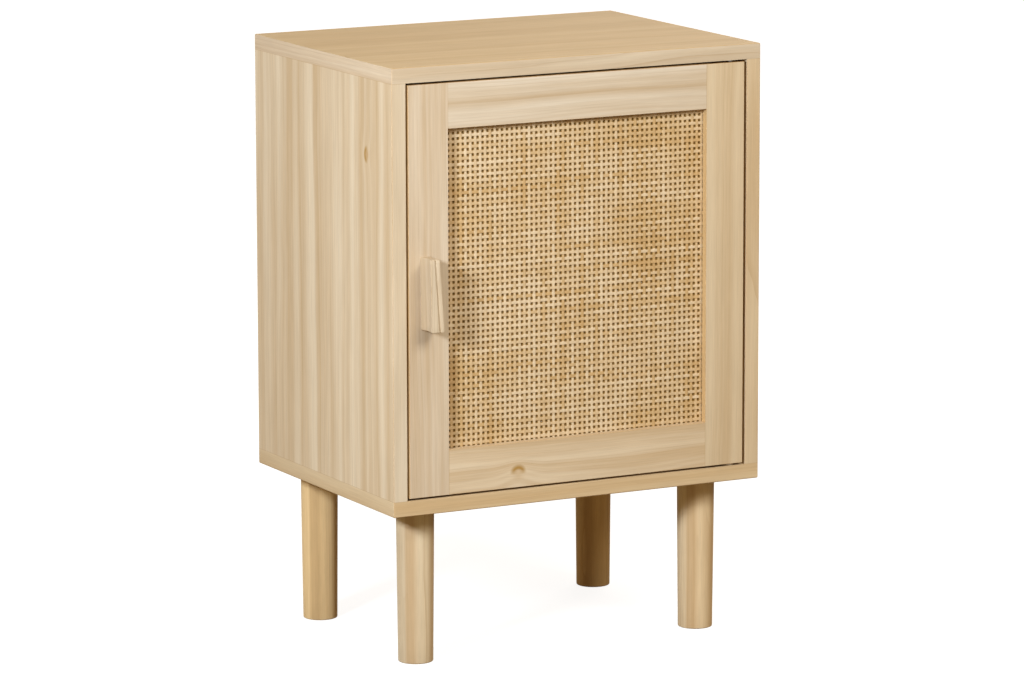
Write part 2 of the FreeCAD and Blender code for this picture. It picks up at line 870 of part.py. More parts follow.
def make_pivots():
    fit = dim.fit_clearance * 2
    reach = dim.pivot_door_depth + dim.top_gap + dim.pivot_panel_depth
    upper = cylinder(dim.pivot_diameter, reach, (pivot_x, pivot_y, door_top - dim.pivot_door_depth))
    node(upper, "upper_pivot_pin")
    reach = dim.pivot_door_depth + dim.bottom_gap + dim.pivot_panel_depth
    low_z = cabinet_floor - dim.pivot_panel_depth
    lower = cylinder(dim.pivot_diameter, reach, (pivot_x, pivot_y, low_z))
    node(lower, "lower_pivot_pin")
    bore = dim.pivot_diameter + dim.running_clearance * 2
    for label, low_z in (
        ("upper_pivot_bush", cabinet_ceiling),
        ("lower_pivot_bush", cabinet_floor - dim.bush_depth),
    ):
        at = (pivot_x, pivot_y, low_z)
        sleeve = cylinder(dim.bush_diameter, dim.bush_depth, at)
        way = cylinder(bore, dim.bush_depth, at)
        node(cut(sleeve, way), label)
    thickness = dim.bottom_gap - dim.moving_gap
    at = (pivot_x, pivot_y, cabinet_floor)
    ring = cylinder(dim.washer_diameter, thickness, at)
    eye = cylinder(dim.pivot_diameter + dim.washer_clearance * 2, thickness, at)
    node(cut(ring, eye), "lower_pivot_washer")


# ---- handle

def handle_outline(sketch, left, width):
    # One level of the handle, seen from above: a coved left side, a flat front and a
    # slanted flute that rises again to the right-hand edge.
    base = length(0)
    nose = -dim.handle_projection
    right = left + width
    flute_start = right - dim.flute_width
    corners_of_level = [
        (right, base),
        (right, nose),
        (flute_start + dim.flute_wall, nose + dim.flute_depth),
        (flute_start, nose),
        (left, nose),
        (left, base),
    ]
    lines = []
    for start, end in zip(corners_of_level, corners_of_level[1:]):
        if end is corners_of_level[-1]:
            break
        lines.append(sketch.addGeometry(Part.LineSegment(flat_point(start), flat_point(end))))
    middle = (left + dim.handle_cove, nose / 2)
    cove = Part.Arc(flat_point((left, nose)), flat_point(middle), flat_point((left, base)))
    arc = sketch.addGeometry(cove)
    floor_line = sketch.addGeometry(Part.LineSegment(flat_point((left, base)), flat_point((right, base))))
    arc_start = 1 if sketch.getPoint(arc, 1).y < sketch.getPoint(arc, 2).y else 2
    arc_end = 3 - arc_start
    for index, line in enumerate(lines):
        pin(sketch, line, 1, corners_of_level[index])
    for line, following in zip(lines, lines[1:]):
        sketch.addConstraint(Sketcher.Constraint("Coincident", line, 2, following, 1))
    sketch.addConstraint(Sketcher.Constraint("Coincident", lines[-1], 2, arc, arc_start))
    sketch.addConstraint(Sketcher.Constraint("Coincident", arc, arc_end, floor_line, 1))
    sketch.addConstraint(Sketcher.Constraint("Coincident", floor_line, 2, lines[0], 1))
    pin(sketch, arc, arc_start, (left, nose))
    pin(sketch, arc, arc_end, (left, base))
    chord = dim.handle_projection / 2
    radius = (chord * chord + dim.handle_cove * dim.handle_cove) / (dim.handle_cove * 2)
    index = sketch.addConstraint(Sketcher.Constraint("Radius", arc, radius.number))
    bind(sketch, f"Constraints[{index}]", radius)


def make_handle():
    body = new_body("handle")
    foot = new_sketch(body, "XY_Plane")
    handle_outline(foot, dim.handle_lean, dim.handle_foot_width)
    head = new_sketch(body, "XY_Plane", dim.handle_height)
    handle_outline(head, length(0), dim.handle_top_width)
    loft = body.newObject("PartDesign::AdditiveLoft", "loft")
    loft.Profile = foot
    loft.Sections = [head]
    loft.Ruled = True
    place(body, (handle_left, front, handle_bottom))
    corners["handle"] = (
        (handle_left, front - dim.handle_projection, handle_bottom),
        (dim.handle_foot_width, dim.handle_projection, dim.handle_height),
    )
    # pilot bores for the two screws, from the face that lies on the door
    sketch = new_sketch(body, "XZ_Plane")
    for x, z in handle_screws_at:
        circle(sketch, (x - handle_left, z - handle_bottom), dim.screw_diameter + dim.fit_clearance * 2)
    pilot = body.newObject("PartDesign::Pocket", "pilot")
    pilot.Profile = sketch
    pilot.Reversed = True
    bind(pilot, "Length", dim.handle_screw_length - dim.door_thickness)
    # the ends and the front are eased
    doc.recompute()
    nose = -dim.handle_projection.number
    tall = dim.handle_height.number
    base = body.Tip
    eased = []
    for index, edge in enumerate(base.Shape.Edges, start=1):
        extent = edge.BoundBox
        level_end = extent.ZMax < 1e-6 or extent.ZMin > tall - 1e-6
        on_nose = abs(extent.YMin - nose) < 1e-6 and abs(extent.YMax - nose) < 1e-6
        if on_nose and (level_end or extent.XMin < dim.handle_lean.number + 0.01):
            eased.append(f"Edge{index}")
    fillet = body.newObject("PartDesign::Fillet", "eased")
    fillet.Base = (base, eased)
    bind(fillet, "Radius", dim.handle_arris)


def make_handle_screws():
    reach = dim.handle_screw_length
    screws = [countersunk_screw((x, door_back, z), reach, "forward") for x, z in handle_screws_at]
    group("handle_screws", screws)


# ---- magnetic catch

def make_catch():
    low_x = catch_middle - dim.catch_length / 2
    full_ear = dim.catch_ear_length
    ears = box(
        (low_x, catch_front, cabinet_ceiling - dim.catch_ear_height),
        (dim.catch_length, dim.catch_depth, dim.catch_ear_height),
    )
    case = box(
        (low_x + full_ear, catch_front, cabinet_ceiling - dim.catch_height),
        (dim.catch_length - full_ear * 2, dim.catch_depth, dim.catch_height),
    )
    magnet_low = (
        catch_middle - dim.magnet_length / 2,
        catch_front - dim.magnet_proud,
        strike_level - dim.magnet_height / 2,
    )
    magnet_extent = (dim.magnet_length, dim.magnet_depth + dim.magnet_proud, dim.magnet_height)
    tools = [box(magnet_low, magnet_extent)]
    fit = dim.fit_clearance * 2
    screws = []
    for x, y in catch_screws_at:
        at = (x, y, cabinet_ceiling - dim.catch_ear_height)
        tools.append(cylinder(dim.screw_diameter + fit, dim.catch_ear_height, at))
        tools.append(cone(dim.screw_head_diameter + fit, dim.screw_diameter + fit, dim.screw_head_height, at))
        screws.append(countersunk_screw(at, dim.catch_screw_length, "up"))
    node(cut(fuse([ears, case]), fuse(tools)), "catch_case")
    node(box(magnet_low, magnet_extent), "catch_magnet")
    group("catch_screws", screws)


def make_strike():
    low = (catch_middle - dim.strike_length / 2, door_back, strike_level - dim.strike_height / 2)
    plate = box(low, (dim.strike_length, dim.strike_thickness, dim.strike_height))
    fit = dim.fit_clearance * 2
    tools, screws = [], []
    for x, z in strike_screws_at:
        at = (x, door_back + dim.strike_thickness, z)
        tools.append(cylinder(dim.screw_head_diameter + fit, dim.strike_thickness, at, "forward"))
        screws.append(countersunk_screw(at, dim.strike_screw_length, "forward"))
    node(cut(plate, fuse(tools)), "strike_plate")
    group("strike_screws", screws)


# ---- the whole table

make_top()
make_bottom()
make_side("left_side_panel", -1)
make_side("right_side_panel", 1)
make_back_panel()
make_nails()
make_carcass_dowels()
make_cam_bolts()
make_cam_locks()
make_legs()
make_stile("door_left_stile", door_left, False)
make_stile("door_right_stile", opening_right, True)
make_rail("door_bottom_rail", door_bottom, False)
make_rail("door_top_rail", opening_top, True)
make_door_dowels()
make_cane_panel()
make_beads()
make_bead_nails()
make_pivots()
make_handle()
make_handle_screws()
make_catch()
make_strike()
doc.recompute()

for item in doc.Objects:
    if "Invalid" in item.State or "Error" in item.State:
        raise RuntimeError(f"{item.Name} of {getattr(item.getParentGeoFeatureGroup(), 'Label', '-')} failed: {item.State}")
    if item.TypeId in ("PartDesign::Pocket", "PartDesign::LinearPattern"):
        removed = item.BaseFeature.Shape.Volume - item.Shape.Volume
        if removed < 1e-3:
            raise RuntimeError(f"{item.Label} of {item.getParentGeoFeatureGroup().Label} cuts nothing")

os.makedirs("parts", exist_ok=True)
for piece in nodes:
    shape = piece.Shape
    if shape.isNull() or not shape.isValid():
        raise RuntimeError(f"{piece.Label} has no valid shape")
    print(f"{piece.Label:22s} solids {len(shape.Solids):3d}  volume {shape.Volume / 1000:9.3f} cm3")
    shape.exportStep(os.path.join("parts", f"{piece.Label}.step"))
print(f"{len(nodes)} nodes written")
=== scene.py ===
import math

import bmesh
import bpy
from mathutils import Matrix, Vector


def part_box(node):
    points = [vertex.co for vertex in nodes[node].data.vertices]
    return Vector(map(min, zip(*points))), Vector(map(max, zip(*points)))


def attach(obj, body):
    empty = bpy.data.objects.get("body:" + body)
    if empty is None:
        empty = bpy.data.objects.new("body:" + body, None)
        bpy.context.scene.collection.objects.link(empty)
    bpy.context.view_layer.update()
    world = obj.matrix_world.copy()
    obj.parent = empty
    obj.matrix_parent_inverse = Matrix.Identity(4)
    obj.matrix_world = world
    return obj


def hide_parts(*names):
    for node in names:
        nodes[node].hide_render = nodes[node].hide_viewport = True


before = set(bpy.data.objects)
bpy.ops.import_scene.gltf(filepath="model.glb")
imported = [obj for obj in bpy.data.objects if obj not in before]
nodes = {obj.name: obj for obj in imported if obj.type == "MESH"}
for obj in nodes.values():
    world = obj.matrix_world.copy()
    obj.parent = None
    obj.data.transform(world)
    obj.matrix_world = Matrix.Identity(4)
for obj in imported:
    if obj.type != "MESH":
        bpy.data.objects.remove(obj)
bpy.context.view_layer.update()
scene = bpy.context.scene
print("frame loaded with", len(nodes), "nodes")


class Wiring:
    # short ways to add and join nodes in one tree
    def __init__(self, tree):
        self.tree = tree

    def add(self, kind, values=None, **settings):
        item = self.tree.nodes.new(kind)
        for name, value in settings.items():
            setattr(item, name, value)
        for socket, value in (values or {}).items():
            self.feed(item.inputs[socket], value)
        return item

    def feed(self, socket, value):
        if isinstance(value, bpy.types.NodeSocket):
            self.tree.links.new(value, socket)
        else:
            socket.default_value = value

    def calc(self, operation, *values):
        item = self.add("ShaderNodeMath", operation=operation)
        for socket, value in zip(item.inputs, values):
            self.feed(socket, value)
        return item.outputs[0]

    def spread(self, value, low, high, newLow=0.0, newHigh=1.0):
        values = {"Value": value, "From Min": low, "From Max": high, "To Min": newLow, "To Max": newHigh}
        return self.add("ShaderNodeMapRange", values).outputs[0]

    def stretch(self, noise, newLow=0.0, newHigh=1.0):
        # most of a noise lies between these two values
        return self.spread(noise, 0.3, 0.7, newLow, newHigh)

    def blend(self, amount, first, second, mode="MIX"):
        item = self.add("ShaderNodeMix", data_type="RGBA", blend_type=mode)
        for socket, value in ((0, amount), (6, first), (7, second)):
            self.feed(item.inputs[socket], value)
        return item.outputs[2]

    def noise(self, position, scale, detail=2.0, roughness=0.5):
        values = {"Vector": position, "Scale": scale, "Detail": detail, "Roughness": roughness}
        return self.add("ShaderNodeTexNoise", values).outputs[0]

    def streak(self, value, scale, detail=1.0):
        # noise along one number, so that it stays the same along the grain
        item = self.add("ShaderNodeTexNoise", {"Scale": scale, "Detail": detail}, noise_dimensions="1D")
        self.feed(item.inputs["W"], value)
        return item.outputs[0]

    def bump(self, height, look):
        values = {"Height": height, "Strength": look["bumpStrength"], "Distance": look["bumpDistance"]}
        return self.add("ShaderNodeBump", values).outputs[0]

    def vector(self, x, y, z):
        return self.add("ShaderNodeCombineXYZ", {0: x, 1: y, 2: z}).outputs[0]

    def reach(self, first, second):
        # the length of the slope over two sides
        squares = [self.calc("MULTIPLY", side, side) for side in (first, second)]
        return self.calc("SQRT", self.calc("ADD", *squares))

    def position(self):
        # the three axes of the place that a geometry tree works on
        place = self.add("GeometryNodeInputPosition").outputs[0]
        return self.add("ShaderNodeSeparateXYZ", {0: place}).outputs

    def store(self, geometry, name, value):
        values = {"Geometry": geometry, "Name": name}
        item = self.add("GeometryNodeStoreNamedAttribute", values, data_type="FLOAT", domain="POINT")
        self.feed(item.inputs["Value"], value)
        return item.outputs[0]


def linear(red, green, blue):
    # a screen colour of 0 to 255 as the linear colour that the shader takes
    parts = [value / 255 for value in (red, green, blue)]
    return [part / 12.92 if part <= 0.04045 else ((part + 0.055) / 1.055) ** 2.4 for part in parts] + [1.0]


def emptyMaterial(name):
    material = bpy.data.materials.new(name)
    material.use_nodes = True
    material.node_tree.nodes.clear()
    return material, Wiring(material.node_tree)


def newMaterial(name, roughness, gloss=0.5):
    material, w = emptyMaterial(name)
    shader = w.add("ShaderNodeBsdfPrincipled", {"Roughness": roughness, "Specular IOR Level": gloss})
    w.add("ShaderNodeOutputMaterial", {"Surface": shader.outputs[0]})
    return material, w, shader


def coat(item, material):
    item.data.materials.clear()
    item.data.materials.append(material)


# pine: its colours, and how strongly each part of the figure shows

pine = {
    "pale": linear(231, 212, 183),
    "warm": linear(208, 181, 144),
    "line": linear(180, 144, 98),
    "knotRim": linear(176, 136, 72),
    "knotHeart": linear(186, 146, 94),
    "endGrain": linear(140, 106, 66),
    "roughness": 0.62,
    "gloss": 0.08,
    "endFacing": 0.8,  # how squarely a face looks along the grain to be an end
    "broadFacing": (0.6, 0.9),  # the same for a broad face, from edge to full face
    "fibreGrit": (0.93, 1.05),
    "blotchNoise": (70.0, 3.0, 0.6),
    "blotchAlong": 0.3,
    "rimDepth": 0.95,
    "seamDepth": 0.45,
    "easedFacing": 0.7,  # how squarely an eased edge looks to the front or back
    "easedRange": (0.27, 0.12),
    "fibreRelief": 0.5,
    "lineRelief": 0.6,
    "bumpStrength": 0.25,
    "bumpDistance": 0.00006,
}

# what a piece of pine has unless its own values say otherwise
usualLook = {
    "faceAcross": False,
    "grainAlongEnds": False,
    "seam": 0.0,  # width in metres of the shadow line at the ends
    "tilt": 0.01,
    "sway": 0.012,
    "spacing": 0.0042,
    "calm": 1.0,
    "bandDepth": 1.0,
    "lineDepth": 0.3,
    "endDepth": 0.3,
    # how dark the painted shade on the eased edges is
    "arrisShadeDepth": 0.5,
    "mottle": 0.02,
    "knot": (0.0, 9.0, 0.001, 1.7),  # across, along, size and stretch: this one lies off the board
    "knotFill": 0.6,
}

# a noise has a scale per metre, a detail and a roughness, and a low "Along" stretches it along the grain
figure = {
    "knotPullFall": -0.16,  # how fast the rings straighten away from a knot
    "swayNoise": (13.0, 1.0, 0.45),
    "swayAlong": 0.28,
    "wobbleNoise": (60.0, 2.0, 0.5),
    "wobbleAlong": 0.16,
    "wobbleDepth": 0.0032,
    "ringBands": ((44.0, 1.0, 0.38), (140.0, 1.0, 0.15), (420.0, 2.0, 0.07)),  # scale, detail, share
    "softNoise": (36.0, 3.0, 0.55),
    "softAlong": 0.07,
    "softShare": 0.4,
    "bandRange": (0.38, 0.62),
    "unevenStreak": (60.0, 0.0),
    "unevenDepth": 0.012,
    "strengthStreak": (330.0, 0.0),
    "strengthRange": (0.35, 0.7),
    "fadeNoise": (16.0, 1.0),
    "fadeAlong": 0.25,
    "fadeLeast": 0.25,
    "lineSharpness": 4.0,  # higher makes the late wood lines thinner
    "fibreNoise": (1250.0, 2.0, 0.6),
    "fibreAlong": 0.018,
    "knotRagged": 0.6,
    "knotCore": (0.85, 0.35),
    "rimAt": 0.8,
    "rimRange": (0.55, 0.08),
    "rimSide": (-0.35, 0.45, 0.1, 1.0),
}


def buildPineGroup():
    # growth rings round a pith that runs along the board, cut by the board's own faces
    group = bpy.data.node_groups.new("pineFigure", "ShaderNodeTree")
    for name in (
        "Across",
        "Depth",
        "Along",
        "Heart Across",
        "Heart Depth",
        "Tilt",
        "Ring Spacing",
        "Sway",
        "Seed",
        "Knot Across",
        "Knot Along",
        "Knot Size",
        "Knot Stretch",
    ):
        group.interface.new_socket(name, in_out="INPUT", socket_type="NodeSocketFloat")
    for name in ("Band", "Ring", "Fibre", "Knot", "Knot Rim"):
        group.interface.new_socket(name, in_out="OUTPUT", socket_type="NodeSocketFloat")
    w = Wiring(group)
    given = w.add("NodeGroupInput").outputs
    result = w.add("NodeGroupOutput")
    across, depth, along, seed = given["Across"], given["Depth"], given["Along"], given["Seed"]

    # how far the place lies from the knot, longer along the grain than across it
    knotSide = w.calc("DIVIDE", w.calc("SUBTRACT", across, given["Knot Across"]), given["Knot Size"])
    knotReach = w.calc("MULTIPLY", given["Knot Size"], given["Knot Stretch"])
    knotUp = w.calc("DIVIDE", w.calc("SUBTRACT", along, given["Knot Along"]), knotReach)
    knotFar = w.reach(knotSide, knotUp)
    knotPull = w.calc("MULTIPLY", w.calc("MULTIPLY", knotFar, knotFar), figure["knotPullFall"])
    knotPull = w.calc("EXPONENT", knotPull)

    moved = w.calc("ADD", across, seed)
    swayPlace = w.vector(moved, depth, w.calc("MULTIPLY", along, figure["swayAlong"]))
    sway = w.calc("SUBTRACT", w.noise(swayPlace, *figure["swayNoise"]), 0.5)
    wobblePlace = w.vector(moved, depth, w.calc("MULTIPLY", along, figure["wobbleAlong"]))
    wobble = w.calc("SUBTRACT", w.noise(wobblePlace, *figure["wobbleNoise"]), 0.5)
    tilted = w.calc("ADD", across, w.calc("MULTIPLY", along, given["Tilt"]))
    side = w.calc("SUBTRACT", tilted, given["Heart Across"])
    deep = w.calc("SUBTRACT", depth, given["Heart Depth"])
    radius = w.reach(side, deep)
    growth = w.calc("ADD", radius, w.calc("MULTIPLY", sway, given["Sway"]))
    growth = w.calc("ADD", growth, w.calc("MULTIPLY", wobble, figure["wobbleDepth"]))
    growth = w.calc("ADD", growth, w.calc("MULTIPLY", knotPull, given["Knot Size"]))
    growth = w.calc("ADD", growth, seed)

    # soft bands of several widths, some that follow the rings and some that fade out along the grain
    softPlace = w.vector(moved, depth, w.calc("MULTIPLY", along, figure["softAlong"]))
    band = w.calc("MULTIPLY", w.noise(softPlace, *figure["softNoise"]), figure["softShare"])
    for scale, detail, share in figure["ringBands"]:
        band = w.calc("ADD", band, w.calc("MULTIPLY", w.streak(growth, scale, detail), share))
    w.feed(result.inputs["Band"], w.spread(band, *figure["bandRange"]))

    # late wood: thin lines that fade in and out from ring to ring
    uneven = w.calc("SUBTRACT", w.streak(growth, *figure["unevenStreak"]), 0.5)
    uneven = w.calc("MULTIPLY", uneven, figure["unevenDepth"])
    saw = w.calc("FRACT", w.calc("DIVIDE", w.calc("ADD", growth, uneven), given["Ring Spacing"]))
    strength = w.spread(w.streak(growth, *figure["strengthStreak"]), *figure["strengthRange"])
    fadePlace = w.vector(across, depth, w.calc("MULTIPLY", along, figure["fadeAlong"]))
    fade = w.stretch(w.noise(fadePlace, *figure["fadeNoise"]), figure["fadeLeast"], 1.0)
    late = w.calc("MULTIPLY", w.calc("POWER", saw, figure["lineSharpness"]), strength)
    w.feed(result.inputs["Ring"], w.calc("MULTIPLY", late, fade))

    fibrePlace = w.vector(across, depth, w.calc("MULTIPLY", along, figure["fibreAlong"]))
    w.feed(result.inputs["Fibre"], w.noise(fibrePlace, *figure["fibreNoise"]))
    ragged = w.calc("ADD", knotFar, w.calc("MULTIPLY", wobble, figure["knotRagged"]))
    w.feed(result.inputs["Knot"], w.spread(ragged, *figure["knotCore"]))
    ring = w.spread(w.calc("ABSOLUTE", w.calc("SUBTRACT", ragged, figure["rimAt"])), *figure["rimRange"])
    w.feed(result.inputs["Knot Rim"], w.calc("MULTIPLY", ring, w.spread(knotSide, *figure["rimSide"])))
    return group


pineFigure = buildPineGroup()
grainOrder = {"x": (1, 2, 0), "z": (0, 1, 2)}  # the axes across, through and along the grain


def cutFigure(w, look, across, depth, along):
    # the shared figure at this board's own place in the trunk
    knotAcross, knotAlong, knotSize, knotStretch = look["knot"]
    values = {
        "Across": across,
        "Depth": depth,
        "Along": along,
        "Heart Across": look["heart"][0],
        "Heart Depth": look["heart"][1],
        "Tilt": look["tilt"],
        "Ring Spacing": look["spacing"],
        "Sway": look["sway"],
        "Seed": look["seed"],
        "Knot Across": knotAcross,
        "Knot Along": knotAlong,
        "Knot Size": knotSize,
        "Knot Stretch": knotStretch,
    }
    outputs = w.add("ShaderNodeGroup", values, node_tree=pineFigure).outputs
    return [outputs[name] for name in ("Band", "Ring", "Fibre", "Knot", "Knot Rim")]


def softBlotches(w, look, across, depth, along):
    # lighter and darker places, a little longer along the grain
    acrossMoved = w.calc("ADD", across, look["seed"])
    place = w.vector(acrossMoved, depth, w.calc("MULTIPLY", along, pine["blotchAlong"]))
    noise = w.noise(place, *pine["blotchNoise"])
    return w.stretch(noise, 1.0 - look["mottle"], 1.0 + look["mottle"])


def figureColour(w, look, cut, blotch, broad):
    band, ring, fibre, knot, knotRim = cut
    # the broad faces may be calmer than the edges
    contrast = w.spread(broad, 0.0, 1.0, 1.0, look["calm"])
    bandDepth = w.calc("MULTIPLY", contrast, look["bandDepth"])
    lineDepth = w.calc("MULTIPLY", contrast, look["lineDepth"])
    colour = w.blend(w.calc("MULTIPLY", band, bandDepth), pine["pale"], pine["warm"])
    colour = w.blend(w.calc("MULTIPLY", ring, lineDepth), colour, pine["line"])
    grit = w.calc("MULTIPLY", w.stretch(fibre, *pine["fibreGrit"]), blotch)
    colour = w.blend(1.0, colour, w.vector(grit, grit, grit), "MULTIPLY")
    colour = w.blend(w.calc("MULTIPLY", knot, look["knotFill"]), colour, pine["knotHeart"])
    return w.blend(w.calc("MULTIPLY", knotRim, pine["rimDepth"]), colour, pine["knotRim"])


def faceTone(w, look, broad, atEnd):
    # broad faces, edges and ends may differ a little in tone; on the door's stiles and top rail the edges'
    # tone is painted shade for the gaps round the door
    edgeTone = look.get("edgeTone", look["tone"])
    endTone = look.get("endTone", edgeTone)
    tone = w.blend(broad, (*edgeTone, 1.0), (*look["tone"], 1.0))
    return w.blend(atEnd, tone, (*endTone, 1.0))


def pineMaterial(name, middle, size, look):
    # look has the grain's axis, the heart, a seed, a tone and what differs from the usual look
    look = {**usualLook, **look}
    material, w, shader = newMaterial(name, pine["roughness"], pine["gloss"])
    coords = w.add("ShaderNodeTexCoord").outputs
    axes = w.add("ShaderNodeSeparateXYZ", {0: coords["Object"]}).outputs
    normals = w.add("ShaderNodeSeparateXYZ", {0: coords["Normal"]}).outputs
    order = list(grainOrder[look["grain"]])
    if look["faceAcross"]:
        order[0], order[1] = order[1], order[0]
    places = [w.calc("SUBTRACT", axes[axis], middle[axis]) for axis in order]
    across, depth, along = places
    atEnd = w.calc("GREATER_THAN", w.calc("ABSOLUTE", normals[order[2]]), pine["endFacing"])
    if look["grainAlongEnds"]:
        # these ends show grain that runs along them, and no sawn ends
        across, depth, along = [
            w.add("ShaderNodeMix", {0: atEnd, 2: first, 3: second}).outputs[0]
            for first, second in ((across, depth), (depth, along), (along, across))
        ]
    broad = w.spread(w.calc("ABSOLUTE", normals[order[1]]), *pine["broadFacing"])
    cut = cutFigure(w, look, across, depth, along)
    blotch = softBlotches(w, look, across, depth, along)
    colour = figureColour(w, look, cut, blotch, broad)
    if not look["grainAlongEnds"]:
        # sawn ends are darker
        colour = w.blend(w.calc("MULTIPLY", atEnd, look["endDepth"]), colour, pine["endGrain"])
    if look["seam"]:
        # a thin shadow line where the board's end meets the next board
        seamStart = size[order[2]] / 2 - look["seam"]
        seam = w.calc("GREATER_THAN", w.calc("ABSOLUTE", places[2]), seamStart)
        colour = w.blend(w.calc("MULTIPLY", seam, pine["seamDepth"]), colour, pine["line"])
    colour = w.blend(1.0, colour, faceTone(w, look, broad, atEnd), "MULTIPLY")
    # painted shade: the eased edges of the front and back are darkened, so that they show less of the light
    # they catch
    slant = w.calc("SUBTRACT", w.calc("ABSOLUTE", normals[1]), pine["easedFacing"])
    arrisShade = w.spread(w.calc("ABSOLUTE", slant), *pine["easedRange"], 0.0, look["arrisShadeDepth"])
    colour = w.blend(w.calc("MULTIPLY", arrisShade, w.calc("SUBTRACT", 1.0, atEnd)), colour, pine["line"])
    w.feed(shader.inputs["Base Color"], colour)
    ring, fibre = cut[1], cut[2]
    relief = w.calc("MULTIPLY", fibre, pine["fibreRelief"])
    relief = w.calc("SUBTRACT", relief, w.calc("MULTIPLY", ring, pine["lineRelief"]))
    w.feed(shader.inputs["Normal"], w.bump(relief, pine))
    return material


def boxOf(name):
    low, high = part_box(name)
    return (low + high) / 2, high - low


beadTone = (0.88, 0.88, 0.87)
boards = {
    "top_panel": {
        "grain": "x",
        "heart": (0.2, -0.22),
        "tilt": 0.012,
        "seed": 1.37,
        "grainAlongEnds": True,
        "calm": 0.48,
        "bandDepth": 0.85,
        "lineDepth": 0.4,
        "mottle": 0.025,
        "tone": (0.80, 0.74, 0.60),
        "edgeTone": (0.79, 0.82, 0.88),
        "endTone": (0.93, 0.95, 1.00),
    },
    "bottom_panel": {
        "grain": "x",
        "heart": (0.03, -0.30),
        "tilt": 0.008,
        "seed": 2.61,
        "grainAlongEnds": True,
        "tone": (0.89, 0.87, 0.80),
    },
    "left_side_panel": {
        "grain": "z",
        "faceAcross": True,
        "heart": (0.42, -0.06),
        "tilt": 0.004,
        "sway": 0.018,
        "bandDepth": 1.05,
        "seed": 3.73,
        "seam": 0.0004,
        "knot": (-0.0965, 0.127, 0.0046, 1.5),
        "tone": (0.96, 0.99, 1.02),
        "edgeTone": (0.87, 0.93, 1.02),
    },
    "right_side_panel": {
        "grain": "z",
        "faceAcross": True,
        "heart": (0.3, 0.08),
        "seed": 4.19,
        "seam": 0.0004,
        "tone": (0.88, 0.89, 0.88),
    },
    "door_left_stile": {
        "grain": "z",
        "bandDepth": 1.3,
        "lineDepth": 0.5,
        "endDepth": 0.9,
        "heart": (0.3, 0.09),
        "seed": 5.43,
        "tone": (0.89, 0.95, 1.08),
        # painted shade: the stile's side faces are browner, for the shade in the gaps round the door and
        # beside the cane
        "edgeTone": (0.85, 0.78, 0.62),
    },
    "door_right_stile": {
        "grain": "z",
        "bandDepth": 0.65,
        "endDepth": 0.9,
        "heart": (0.3, 0.07),
        "tilt": -0.012,
        "seed": 6.07,
        "tone": (0.83, 0.83, 0.81),
        # painted shade: the stile's side faces are browner, for the shade in the gaps round the door and
        # beside the cane
        "edgeTone": (0.83, 0.71, 0.50),
    },
    "door_top_rail": {
        "grain": "x",
        "faceAcross": True,
        "bandDepth": 1.2,
        "lineDepth": 0.4,
        "heart": (0.3, 0.05),
        "tilt": -0.012,
        "sway": 0.02,
        "seed": 7.91,
        "seam": 0.0004,
        # painted shade: the rail's top and bottom faces are darker and browner, for the shade in the gap
        # above the door
        "edgeTone": (0.55, 0.42, 0.26),
        "tone": (0.87, 0.94, 1.08),
        "arrisShadeDepth": 0.95,
    },
    "door_bottom_rail": {
        "grain": "x",
        "faceAcross": True,
        "bandDepth": 1.3,
        "lineDepth": 0.45,
        "heart": (0.3, 0.06),
        "tilt": -0.01,
        "sway": 0.02,
        "seed": 8.29,
        "seam": 0.0004,
        "knot": (-0.0075, -0.066, 0.0062, 1.15),
        "knotFill": 0.3,
        "tone": (0.93, 0.97, 1.03),
        "arrisShadeDepth": 0.95,
    },
    "bead_left": {"grain": "z", "heart": (0.3, 0.05), "seed": 9.11, "tone": beadTone},
    "bead_right": {"grain": "z", "heart": (0.3, 0.06), "seed": 10.7, "tone": beadTone},
    "bead_top": {"grain": "x", "heart": (0.3, 0.05), "seed": 11.3, "tone": beadTone},
    "bead_bottom": {"grain": "x", "heart": (0.3, 0.05), "seed": 12.9, "tone": beadTone},
}
for name, look in boards.items():
    middle, size = boxOf(name)
    coat(nodes[name], pineMaterial("pine " + name.replace("_", " "), middle, size, look))
print("boards finished")

# the back panel and the dowels

plain = {
    "roughness": 0.7,
    "gloss": 0.25,
    "coarseNoise": (4.0, 0.6),  # detail and roughness
    "fineNoise": (2.0, 0.6),
    "fineTimes": 9,  # how much finer the fine noise is
    "fineGrit": (0.9, 1.06),
}
beech = {"first": linear(216, 186, 150), "second": linear(190, 154, 112), "scale": 260.0}
otherWoods = {
    "back_panel": {
        "name": "back plywood",
        "first": linear(228, 205, 170),
        "second": linear(206, 177, 136),
        "stretch": (1.0, 1.0, 0.05),
        "scale": 70.0,
    },
    "carcass_dowels": {**beech, "name": "dowel beech", "stretch": (1.0, 1.0, 0.1)},
    "door_dowels": {**beech, "name": "dowel beech level", "stretch": (0.1, 1.0, 1.0)},
}


def plainWood(name, first, second, stretch, scale):
    material, w, shader = newMaterial(name, plain["roughness"], plain["gloss"])
    place = w.add("ShaderNodeTexCoord").outputs["Object"]
    stretched = w.add("ShaderNodeMapping", {"Vector": place, "Scale": stretch}).outputs[0]
    coarse = w.stretch(w.noise(stretched, scale, *plain["coarseNoise"]))
    fine = w.noise(stretched, scale * plain["fineTimes"], *plain["fineNoise"])
    fine = w.stretch(fine, *plain["fineGrit"])
    colour = w.blend(coarse, first, second)
    w.feed(shader.inputs["Base Color"], w.blend(1.0, colour, w.vector(fine, fine, fine), "MULTIPLY"))
    return material


for name, look in otherWoods.items():
    coat(nodes[name], plainWood(**look))
print("back panel and dowels finished")

# metal and plastic fittings

